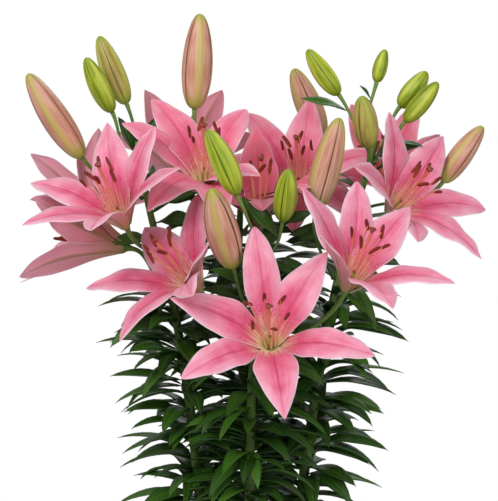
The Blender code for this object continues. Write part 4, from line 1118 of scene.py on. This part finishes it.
# Bracts in the flower heads: what carries each one (a stem and a height, or a bud's stalk and a share of
# it), then its direction, length, width, rise and droop.
BRACTS = (("left", 404, -25, 42, 14, 25, 20), ("left", 394, -8, 54, 16, 40, 5),
          ("left", 412, 8, 46, 15, 48, 0), ("back", 408, 175, 56, 16, 12, 25),
          ("back", 388, 205, 58, 16, 12, 30), ("back", 372, -120, 54, 16, 20, 30),
          ("back", 412, -35, 48, 15, 20, 20), ("front", 340, -170, 50, 15, 30, 15),
          ("front", 352, 95, 50, 15, 45, 0), ("right", 350, -150, 54, 15, 25, 25),
          ("right", 360, 110, 50, 15, 30, 20), ("right", 376, 0, 46, 15, 20, 30),
          ("left", 424, 20, 34, 12, 50, 0), ("left", 462, 15, 44, 14, 62, -40),
          ("left", 456, 160, 38, 12, 72, -55), ("left", 438, -70, 36, 12, 45, 10),
          ("left", 388, 200, 40, 13, 30, 25), ("left", 372, -60, 46, 14, 20, 30),
          ("left", 366, 30, 48, 14, 25, 30), ("front", 346, 168, 46, 14, 38, 5),
          ("front", 356, 195, 42, 13, 50, -10), ("front", 336, 15, 50, 15, 20, 25),
          ("front", 364, -5, 48, 15, 22, 20), ("front", 376, 25, 44, 15, 12, 25),
          ("front", 382, -35, 34, 13, 8, 45), ("front", 370, 120, 42, 13, 35, 10),
          ("front", 390, 60, 36, 12, 55, 0), ("front", 330, 140, 52, 15, 30, 20),
          ("middle_short", 0.55, 170, 44, 13, 58, -38), ("middle_short", 0.85, 10, 26, 9, 40, -10),
          ("back", 384, -60, 50, 15, 25, 25), ("back", 392, 0, 46, 14, 30, 20),
          ("back", 400, 180, 46, 14, 30, 20), ("back", 428, 200, 38, 12, 50, 0),
          ("back", 418, -20, 40, 13, 40, 5), ("right", 366, -50, 46, 14, 25, 25),
          ("right", 372, 180, 46, 14, 30, 15), ("right", 384, -100, 42, 13, 30, 25),
          ("right", 392, 200, 42, 14, 25, 20), ("right", 430, 170, 40, 13, 45, 0),
          ("right", 455, 10, 42, 13, 28, -5), ("right", 448, -80, 34, 12, 40, 10),
          ("rear_green", 0.72, 175, 40, 12, 25, -5), ("tiny", 0.75, 180, 14, 6, 60, -40),
          ("pair_outer", 0.6, 0, 24, 9, 10, 20), ("right", 398, 192, 50, 15, 8, 12),
          ("right", 386, 172, 48, 15, 20, 12), ("right", 380, -165, 44, 14, 30, 5),
          ("left", 418, 10, 40, 13, 30, 10), ("back", 396, -80, 44, 14, 20, 15),
          ("back", 424, 10, 40, 13, 30, 10))


def bract_leaf(bract):
    """A bract as a leaf record: it starts on its stem's or stalk's surface, on the side that it points to."""
    source, place, azimuth, length, width, rise, droop = bract
    if source in STEMS:
        line = stem_line(source)
        here = np.argmin(abs(line[:, 2] - place))
        radius = stem_radius(place, line[-1, 2])
    else:
        line = bud_stalk(BUDS[source], 100)
        here, radius = int(place * 99), BUD_STALK_RADIUS
    start = line[here] + 0.8 * radius * level_way(azimuth)
    return dict(start=start, height=line[here][2], azimuth=azimuth, length=length, width=width, rise=rise,
                droop=droop, lean=BRACT_LEAN)


bract_homes = {name: [] for name in STEMS}
for bract in BRACTS:
    home = bract[0] if bract[0] in STEMS else BUDS[bract[0]]["stem"]
    bract_homes[home].append(bract_leaf(bract))
print(len(BRACTS), "bracts")

# %% [markdown]
# ## Leaves
# A lily leaf is a folded blade: a pale midrib sunk along the middle, two halves that arch a little, veins
# that run from foot to tip, and a drawn-out point. The face is a glossy dark green and the underside is
# paler and matt. There are hundreds of them, so each is a ring of six points carried along a bent line in a
# dozen steps.

# %% Leaf material
def leaf_material():
    """Lily leaf: waxed dark green face with veins 1.3 mm apart, paler matt back, and no two leaves alike."""
    made, node, shader = new_material("lily_leaf_wax", Specular_IOR_Level=0.35)
    along, across, face, tone = (node("Attribute", out="Fac", attribute_name=key)
                                 for key in ("along", "across", "inside", "tone"))
    off_middle = node("Math ABSOLUTE", across)
    place = node("VectorMath MULTIPLY", node("CombineXYZ", across, along, tone), (5.0, 1.5, 43.0))
    veins = node("TexNoise", {"Vector": place, "Scale": 1.0, "Detail": 2.0})
    shade = node("Math ADD", node("Math MULTIPLY", tone, 0.7), node("Math MULTIPLY", veins, 0.3))
    green = node("ValToRGB", shade, stops=((0.0, "#1c390d"), (0.5, "#2d5314"), (1.0, "#487420")))
    midrib = node("Math MULTIPLY", node(SMOOTH, off_middle, 0.02, 0.16, 1.0, 0.0), 0.55)
    green = node("Mix RGBA", midrib, green, "#4f7434")
    green = node("Mix RGBA", node(SMOOTH, along, 0.0, 0.12, 0.5, 0.0), green, "#5c7f36")
    back = node("Mix RGBA", veins, "#2f4c22", "#48683a")
    node("Mix RGBA", face, back, green, to=shader.inputs["Base Color"])
    node(SMOOTH, face, 0.0, 1.0, 0.62, 0.40, to=shader.inputs["Roughness"])
    node("Bump", {"Height": veins, "Strength": 0.4, "Distance": 0.0005}, to=shader.inputs["Normal"])
    return made


LILY_LEAF = leaf_material()
print("leaf nodes", len(LILY_LEAF.node_tree.nodes))

# %% Leaf shapes
LEAF_RING = np.array((-1.0, -0.5, 0.0, 0.5, 1.0, 0.0))
LEAF_FACE = np.array((1.0, 1.0, 1.0, 1.0, 1.0, 0.0))
LEAF_LEAN = 8
POT_HEIGHT = 135.0
SOIL_TOP = 116.0
POT_MOUTH = (54, 67)  # where a low leaf starts to rise over the rim, and where it has to be above it


def leaf_skin(leaf, random):
    """Ring of six points round a leaf at each station: two edges, two shoulders, sunk midrib and back.

    The edges rise above the midrib by 0.10 to 0.30 of the half width, and the shoulders by 0.85 of that. The
    blade turns round its midrib by up to 30 degrees either way, with 8 degrees more to the front, or 48 on a
    bract, and it sways by up to 5 percent of its length. Where a low leaf would cut into the mix or the pot,
    it is lifted, so that it lies on the rim.
    """
    t = np.concatenate(([-0.01, 0.06], np.linspace(0.16, 0.90, 8), [0.965, 1.0]))
    points, ways = leaf_curve(leaf["start"], leaf["azimuth"], leaf["length"], leaf["rise"], leaf["droop"],
                              np.clip(t, 0, 1))
    side = unit(np.cross(ways, (0, 0, 1.0)))
    above = np.cross(side, ways)
    sway = random.uniform(-0.05, 0.05) * leaf["length"]
    points = points + (sway * np.clip(t, 0, 1) ** 2)[:, None] * side
    half = leaf_half_width(t, leaf["width"] * 1.12) * (1 - ease(t, 0.9, 1.0) * 0.7)
    tilt = random.uniform(-30, 30) + np.sign(side[0, 1]) * leaf.get("lean", LEAF_LEAN)
    turn = np.radians(tilt) * ease(t, 0.0, 0.7)
    fold = random.uniform(0.10, 0.30)
    height = np.array((fold, 0.85 * fold, 0.0, 0.85 * fold, fold, -0.16))
    lift = half[:, None] * height + np.array((0, 0.10, 0.0, 0.10, 0, -0.30))
    flat = half[:, None] * LEAF_RING
    sideways = flat * np.cos(turn)[:, None] - lift * np.sin(turn)[:, None]
    upwards = lift * np.cos(turn)[:, None] + flat * np.sin(turn)[:, None]
    rings = points[:, None] + sideways[..., None] * side[:, None] + upwards[..., None] * above[:, None]
    outwards = ease(np.hypot(rings[..., 0], rings[..., 1]), *POT_MOUTH)
    lowest = SOIL_TOP + 4 + outwards * (POT_HEIGHT - SOIL_TOP - 2.5)
    rings[..., 2] += np.maximum(0, (lowest - rings[..., 2]).max(axis=1))[:, None]
    return rings, t


def make_leaves(name, leaves, random):
    """All leaves of one stem as one piece."""
    made = [leaf_skin(leaf, random) for leaf in leaves]
    points = np.stack([rings for rings, _ in made])
    values = dict(along=made[0][1][None, :, None], across=LEAF_RING, inside=LEAF_FACE,
                  tone=random.uniform(0, 1, len(made))[:, None, None])
    return make_piece(f"leaves_{name}", [tube_part(points, values)], [LILY_LEAF],
                      [f"stem_{name}"])


leaf_random = np.random.default_rng(3)
leaf_pieces = [make_leaves(name, leaf_plan[name] + extra_leaves[name] + bract_homes[name], leaf_random)
               for name in STEMS]
print("leaf faces", sum(len(piece.data.polygons) for piece in leaf_pieces))

# %% [markdown]
# ## Stems
# A lily stem is a stiff round cane, faintly ribbed below each leaf, browner near the soil and fresh green
# at the top.

# %% Stems
STEM_SKIN = flower_part_material("lily_stem_skin", "#4f5f2a", "#5f8434", 0.5, 2.0, 0.0003)


def make_stem(name):
    """A stem: ribbed rings along its route, tapered as the CAD stem is, with a dome at the top."""
    line = resample(stem_line(name), 130)
    top = line[-1, 2]
    sides, across = carried_frames(line, (1.0, 0, 0))
    radii = stem_radius(line[:, 2], top) * (1 + 0.03 * np.sin(2 * np.pi * line[:, 2] / ROW_HEIGHT))
    radii[-3:] *= (0.95, 0.8, 0.4)
    points = swept(line, sides, across, round_outline(radii, 20, 5, 0.035))[None]
    values = dict(along=np.linspace(0, 1, len(line))[None, :, None])
    return make_piece(f"stem_{name}_cane", [tube_part(points, values)], [STEM_SKIN],
                      [f"stem_{name}"])


stem_pieces = [make_stem(name) for name in STEMS]
print(len(stem_pieces), "stems")

# %% [markdown]
# ## Bulbs
# Under the mix each stem stands on a scaly bulb. Nobody sees it, but the model is complete: fleshy scales
# overlap like roof tiles on a globe, which is drawn up to a neck where the stem leaves it.

# %% Bulbs
BULB_RADIUS = 19.0
BULB_CENTRE = 58.0
BULB_SCALE_SKIN = flower_part_material("lily_bulb_scales", "#cbb98a", "#e9dfbe", 0.55, 2.5, 0.0006)


def make_bulb(name, stem):
    """A globe whose radius swells by 0.05 on each of seven scales in four rows, and then a neck."""
    share = np.linspace(0.02, 0.97, 40)
    polar = np.pi * (1 - share)
    row = np.floor(share * 4)
    angles = ring_angles(56)
    scales = abs(np.cos(3.5 * angles[None, :] + row[:, None] * np.pi / 2)) ** 0.6
    within = share * 4 - row
    radius = 0.90 + 0.05 * scales * (1 - within[:, None] ** 3) + 0.04 * scales
    flat = BULB_RADIUS * np.sin(polar)[:, None] * radius
    height = BULB_RADIUS * np.cos(polar)
    flat[share > 0.9] = np.maximum(flat[share > 0.9], 4.8)
    height = np.where(share > 0.9, BULB_RADIUS * (0.93 + 0.17 * (share - 0.9) / 0.07), height)
    x, y = stem["route"][0][:2]
    points = np.stack((x + flat * np.cos(angles), y + flat * np.sin(angles),
                       np.broadcast_to(BULB_CENTRE + height[:, None], flat.shape)), axis=-1)[None]
    return make_piece(f"bulb_{name}_scales", [tube_part(points, dict(along=share[None, :, None]))],
                      [BULB_SCALE_SKIN], [f"bulb_{name}"])


bulb_pieces = [make_bulb(name, stem) for name, stem in STEMS.items()]
print(len(bulb_pieces), "bulbs")

# %% [markdown]
# ## Potting mix
# Lilies are potted in peat with bark fines and a little perlite. The mix is a turned block that fills the
# pot, and its top is rough: noise on a random lattice at two sizes gives the peat crumbs. On it lie some
# hundreds of bark chips and perlite grains, each a lump of a few dozen faces.

# %% Mix materials
def mix_material(name, dark, light, size, roughness, depth):
    """Crumbly matter: two browns in grains of the given size in millimetres, and deep bump."""
    made, node, shader = new_material(name, Roughness=roughness, Specular_IOR_Level=0.25)
    place = node("TexCoord", out="Object")
    grains = node("TexVoronoi", {"Vector": place, "Scale": 1000.0 / size})
    fibres = node("TexNoise", {"Vector": place, "Scale": 2200.0 / size, "Detail": 4.0})
    share = node("Math ADD", node("Math MULTIPLY", grains, 0.6), node("Math MULTIPLY", fibres, 0.5))
    node("ValToRGB", share, stops=((0.15, dark), (0.85, light)), to=shader.inputs["Base Color"])
    node("Bump", {"Height": share, "Strength": 0.8, "Distance": depth}, to=shader.inputs["Normal"])
    return made


PEAT = mix_material("potting_peat", "#1d130d", "#4b3524", 2.4, 0.95, 0.0012)
BARK = mix_material("composted_bark", "#2c1b12", "#6e4c33", 3.0, 0.85, 0.0006)
PERLITE = mix_material("perlite_grain", "#cfcabd", "#f1eee6", 1.5, 0.9, 0.0004)
print("mix finishes", [made.name for made in (PEAT, BARK, PERLITE)])

# %% Mix block
POT_BASE_RADIUS = 54.0
POT_RIM_RADIUS = 76.0
POT_COLLAR = 13.0
POT_COLLAR_STEP = 2.2
POT_WALL = 2.0
POT_FLOOR = 3.0
SOIL_CROWN = 3.0
SOIL_SEED = 4
TOUCH_GAP = 0.35
MIX_RINGS = (64, 12, 6)  # over the top, down the wall and in under the block


def pot_inner_radius(height):
    """Radius of the pot's inner wall at a height."""
    slope = (POT_RIM_RADIUS - POT_COLLAR_STEP - POT_BASE_RADIUS) / POT_HEIGHT
    return POT_BASE_RADIUS - POT_WALL + slope * height


def lattice_noise(x, y, cell, random):
    """Noise from -1 to 1: random values on a square lattice, blended by smooth steps between its corners."""
    lattice = random.uniform(-1, 1, (90, 90))
    column, row = (np.clip(value / cell + 44, 0, 88) for value in (x, y))
    i, j = column.astype(int), row.astype(int)
    a, b = ease(column - i, 0, 1), ease(row - j, 0, 1)
    near = lattice[i, j] * (1 - a) + lattice[i + 1, j] * a
    far = lattice[i, j + 1] * (1 - a) + lattice[i + 1, j + 1] * a
    return near * (1 - b) + far * b


def soil_height(x, y):
    """Height of the mix: a crown that falls with the square of the radius, and crumbs at 7, 4 and 2 mm."""
    random = np.random.default_rng(SOIL_SEED)
    crown = SOIL_TOP + SOIL_CROWN * (1 - (np.hypot(x, y) / pot_inner_radius(SOIL_TOP)) ** 2)
    crumbs = sum(size * lattice_noise(x, y, cell, random)
                 for cell, size in ((7.0, 0.7), (4.0, 0.6), (2.0, 0.45)))
    return crown - 0.8 + crumbs


def make_mix():
    """The block of potting mix: rings out over the rough top, down the wall and in under the block."""
    wall = pot_inner_radius(SOIL_TOP) - TOUCH_GAP - 0.2
    floor = POT_FLOOR + TOUCH_GAP
    top, down, under = MIX_RINGS
    radii = np.concatenate((np.linspace(0.6, wall - 0.4, top),
                            np.linspace(wall, pot_inner_radius(floor) - 0.6, down),
                            np.linspace(pot_inner_radius(floor) - 2, 1, under)))
    angles = ring_angles(200)
    x, y = radii[:, None] * np.cos(angles), radii[:, None] * np.sin(angles)
    z = np.full_like(x, floor)
    z[:top] = soil_height(x[:top], y[:top])
    z[top:top + down] = np.linspace(SOIL_TOP - 2, floor + 0.5, down)[:, None]
    return make_piece("potting_mix_block", [tube_part(np.stack((x, y, z), axis=-1)[None], {})], [PEAT],
                      ["potting_mix"])


mix_piece = make_mix()
print("mix faces", len(mix_piece.data.polygons))

# %% Bark crumbs and perlite
LUMP_SHAPE = (4, 7)  # rows and points around of one crumb


def make_crumbs(name, count, sizes, finish, seed):
    """Lumps on the mix: each is a small globe with a random stretch, dented points and a random turn."""
    random = np.random.default_rng(seed)
    radius = 0.94 * pot_inner_radius(SOIL_TOP) * np.sqrt(random.uniform(0, 1, count))
    angle = random.uniform(0, 2 * np.pi, count)
    x, y = radius * np.cos(angle), radius * np.sin(angle)
    feet = np.array([stem["route"][0][:2] for stem in STEMS.values()])
    clear = np.hypot(x[:, None] - feet[:, 0], y[:, None] - feet[:, 1]).min(axis=1) > 8
    x, y = x[clear], y[clear]
    many = len(x)
    rows, around = LUMP_SHAPE
    polar = np.linspace(0.5, np.pi - 0.5, rows)[:, None]
    turns = ring_angles(around)[None, :]
    globe = np.stack((np.sin(polar) * np.cos(turns), np.sin(polar) * np.sin(turns),
                      np.cos(polar) + 0 * turns), axis=-1)
    stretch = random.uniform(*sizes, (many, 1)) * random.uniform((0.7, 0.45, 0.3), (1.0, 0.8, 0.5), (many, 3))
    lumps = globe * (1 + random.uniform(-0.22, 0.22, (many, rows, around, 1))) * stretch[:, None, None]
    spin, tip = random.uniform(0, 2 * np.pi, many), random.uniform(-0.5, 0.5, many)
    zero, one = np.zeros(many), np.ones(many)
    turn = np.array(((np.cos(spin), -np.sin(spin), zero), (np.sin(spin), np.cos(spin), zero),
                     (zero, zero, one)))
    lean = np.array(((np.cos(tip), zero, np.sin(tip)), (zero, one, zero), (-np.sin(tip), zero, np.cos(tip))))
    lumps = np.einsum("abn,bcn,nijc->nija", turn, lean, lumps)
    centre = np.stack((x, y, soil_height(x, y) + 0.2 * stretch[:, 2]), axis=-1)
    return make_piece(name, [tube_part(lumps + centre[:, None, None], {})], [finish],
                      ["potting_mix"], smooth=False)


crumb_pieces = [make_crumbs("bark_crumbs", 620, (1.4, 4.2), BARK, 12),
                make_crumbs("perlite_grains", 110, (0.9, 2.0), PERLITE, 13)]
print("crumb faces", [len(piece.data.polygons) for piece in crumb_pieces])

# %% [markdown]
# ## Pot
# The pot is a plain grower's pot of thin black polypropylene, blown or injection moulded: a tapered wall, a
# collar round the rim and drain holes in the floor. A single turned profile makes it, with a fine round on
# every edge, and a Boolean drills the holes, which a turned surface can't have by itself.

# %% Pot material
def pot_material():
    """Moulded polypropylene: black with a spark-eroded grain of 0.6 mm, and faint dust low on the wall."""
    made, node, shader = new_material("pot_polypropylene", Roughness=0.48, Specular_IOR_Level=0.5)
    place = node("TexCoord", out="Object")
    grain = node("TexNoise", {"Vector": place, "Scale": 1700.0, "Detail": 2.0})
    dust = node("TexNoise", {"Vector": place, "Scale": 28.0, "Detail": 5.0})
    high = node("SeparateXYZ", place, out="Z")
    low_down = node(SMOOTH, high, 0.0, 0.05, 0.5, 0.12)
    share = node("Math MULTIPLY", node(SMOOTH, dust, 0.42, 0.72), low_down)
    node("Mix RGBA", share, "#1d1e20", "#5a5248", to=shader.inputs["Base Color"])
    node("Bump", {"Height": grain, "Strength": 0.25, "Distance": 0.0003}, to=shader.inputs["Normal"])
    return made


POT_PLASTIC = pot_material()
print("pot nodes", len(POT_PLASTIC.node_tree.nodes))

# %% Pot shape
DRAIN_COUNT = 6
DRAIN_RADIUS = 3.5
DRAIN_RING = 34.0


def rounded(profile, radius, steps=5):
    """The profile with each inner corner replaced by a quadratic curve that starts and ends a radius away."""
    corners = np.asarray(profile, float)
    before, here, after = corners[:-2], corners[1:-1], corners[2:]
    back = np.linalg.norm(before - here, axis=1, keepdims=True)
    on = np.linalg.norm(after - here, axis=1, keepdims=True)
    start = here + (before - here) * np.minimum(radius / back, 0.45)
    end = here + (after - here) * np.minimum(radius / on, 0.45)
    t = np.linspace(0, 1, steps)[None, :, None]
    curves = (1 - t) ** 2 * start[:, None] + 2 * t * (1 - t) * here[:, None] + t ** 2 * end[:, None]
    return np.vstack((corners[:1], curves.reshape(-1, 2), corners[-1:]))


def turned_points(profile, around):
    """Rings round the pot's axis through the profile's (radius, height) points."""
    angles = ring_angles(around)
    radius, height = profile[:, 0, None], profile[:, 1, None]
    return np.stack((radius * np.cos(angles), radius * np.sin(angles), height + 0 * angles), axis=-1)[None]


def make_pot():
    """The turned pot with its drain holes drilled."""
    wall_top = POT_HEIGHT - POT_COLLAR
    outer = pot_inner_radius(wall_top) + POT_WALL
    profile = ((0.5, POT_FLOOR), (pot_inner_radius(POT_FLOOR), POT_FLOOR),
               (pot_inner_radius(POT_HEIGHT), POT_HEIGHT), (POT_RIM_RADIUS, POT_HEIGHT),
               (POT_RIM_RADIUS, POT_HEIGHT - 3.0), (POT_RIM_RADIUS - 1.2, wall_top),
               (outer, wall_top - 0.6), (POT_BASE_RADIUS, 0.0), (POT_BASE_RADIUS - 3.5, 0.0),
               (POT_BASE_RADIUS - 4.6, 0.9), (0.5, 0.9))
    pot = make_piece("pot_shell", [tube_part(turned_points(rounded(profile, 0.8), 128), {})], [POT_PLASTIC],
                     ["pot"])
    angles = (np.arange(DRAIN_COUNT) + 0.5) * 2 * np.pi / DRAIN_COUNT
    ring = ring_angles(24)
    drills = np.stack(np.broadcast_arrays(
        DRAIN_RING * np.cos(angles)[:, None, None] + DRAIN_RADIUS * np.cos(ring),
        DRAIN_RING * np.sin(angles)[:, None, None] + DRAIN_RADIUS * np.sin(ring),
        np.array((-4.0, 8.0))[None, :, None]), axis=-1)
    spots, quads, fans, _ = tube_part(drills, {})
    mesh = bpy.data.meshes.new("drain_drill")
    mesh.from_pydata(spots * MM, [], quads.tolist() + fans.tolist())
    drill = bpy.data.objects.new("drain_drill", mesh)
    bpy.context.scene.collection.objects.link(drill)
    boolean = pot.modifiers.new("Drain holes", "BOOLEAN")
    boolean.operation = "DIFFERENCE"
    boolean.solver = "EXACT"
    boolean.object = drill
    seen = pot.evaluated_get(bpy.context.evaluated_depsgraph_get())
    drilled = bpy.data.meshes.new_from_object(seen)
    pot.modifiers.clear()
    pot.data = drilled
    drilled.set_sharp_from_angle(angle=np.radians(35))
    bpy.data.objects.remove(drill, do_unlink=True)
    return pot


pot_piece = make_pot()
print("pot faces", len(pot_piece.data.polygons))

# %% [markdown]
# ## Floor and light
# The plant stands on a pale floor in a white room. The floor fades into the room's own white with distance,
# so no horizon shows. A large soft light above and to the front left models the petals, a weaker one low at
# the front right keeps the shadows open, and one behind lifts the edges.

# %% Floor
ROOM_LIGHT = 0.40
FLOOR_RINGS = 30
FLOOR_AROUND = 64


def floor_material():
    """Matt pale floor that turns into plain white light from 0.2 m to 0.6 m from the pot's middle."""
    made, node, shader = new_material("studio_floor", Roughness=0.9, Specular_IOR_Level=0.1)
    shader.inputs["Base Color"].default_value = colour("#f4f4f3")
    place = node("TexCoord", out="Object")
    far = node("VectorMath LENGTH", place)
    seen = node("LightPath", out="Is Camera Ray")
    strength = node(SMOOTH, seen, 0.0, 1.0, ROOM_LIGHT, 1.0)
    glow = node("Emission", "#ffffff", strength)
    share = node(SMOOTH, far, 0.2, 0.6)
    surface = made.node_tree.nodes["Material Output"].inputs["Surface"]
    node("MixShader", share, shader.outputs[0], glow, to=surface)
    return made


rings = np.concatenate(([0.001], np.geomspace(0.05, 9, FLOOR_RINGS)))
turns = ring_angles(FLOOR_AROUND)
floor_points = np.stack((rings[:, None] * np.cos(turns), rings[:, None] * np.sin(turns),
                         np.zeros((FLOOR_RINGS + 1, FLOOR_AROUND))), axis=-1).reshape(-1, 3)
ring_index, turn_index = np.meshgrid(np.arange(FLOOR_RINGS), np.arange(FLOOR_AROUND), indexing="ij")
this_turn = ring_index * FLOOR_AROUND + turn_index
next_turn = ring_index * FLOOR_AROUND + (turn_index + 1) % FLOOR_AROUND
floor_faces = np.stack((this_turn, this_turn + FLOOR_AROUND, next_turn + FLOOR_AROUND, next_turn),
                       axis=-1).reshape(-1, 4)
floor_mesh = bpy.data.meshes.new("studio_floor")
floor_mesh.from_pydata(floor_points, [], floor_faces.tolist())
floor_mesh.materials.append(floor_material())
floor = bpy.data.objects.new("studio_floor", floor_mesh)
bpy.context.scene.collection.objects.link(floor)
print("floor reaches", rings[-1], "m")


# %% Lights and world
def soft_light(name, place, aim, size, power):
    """A square area light that stands at a place and looks at a point."""
    data = bpy.data.lights.new(name, "AREA")
    data.size = size
    data.energy = power
    light = bpy.data.objects.new(name, data)
    light.location = place
    light.rotation_euler = (Vector(aim) - Vector(place)).to_track_quat("-Z", "Y").to_euler()
    bpy.context.scene.collection.objects.link(light)
    return light


LIGHT_AIM = (0, 0, 0.38)
soft_light("key_light", (-0.9, -1.5, 1.7), LIGHT_AIM, 0.9, 26)
soft_light("fill_light", (0.8, -1.6, 0.8), LIGHT_AIM, 1.2, 11)
soft_light("back_light", (0.3, 1.6, 1.5), LIGHT_AIM, 1.2, 9)

world = bpy.data.worlds.new("white_room")
world.use_nodes = True
room = world.node_tree
sky = room.nodes["Background"]
seen_directly = add_node(room, "LightPath", out="Is Camera Ray")
add_node(room, SMOOTH, seen_directly, 0.0, 1.0, ROOM_LIGHT, 1.0, to=sky.inputs["Strength"])
sky.inputs["Color"].default_value = (1.0, 1.0, 1.0, 1.0)
bpy.context.scene.world = world
bpy.context.scene.view_settings.view_transform = "Standard"
bpy.context.scene.view_settings.look = "None"
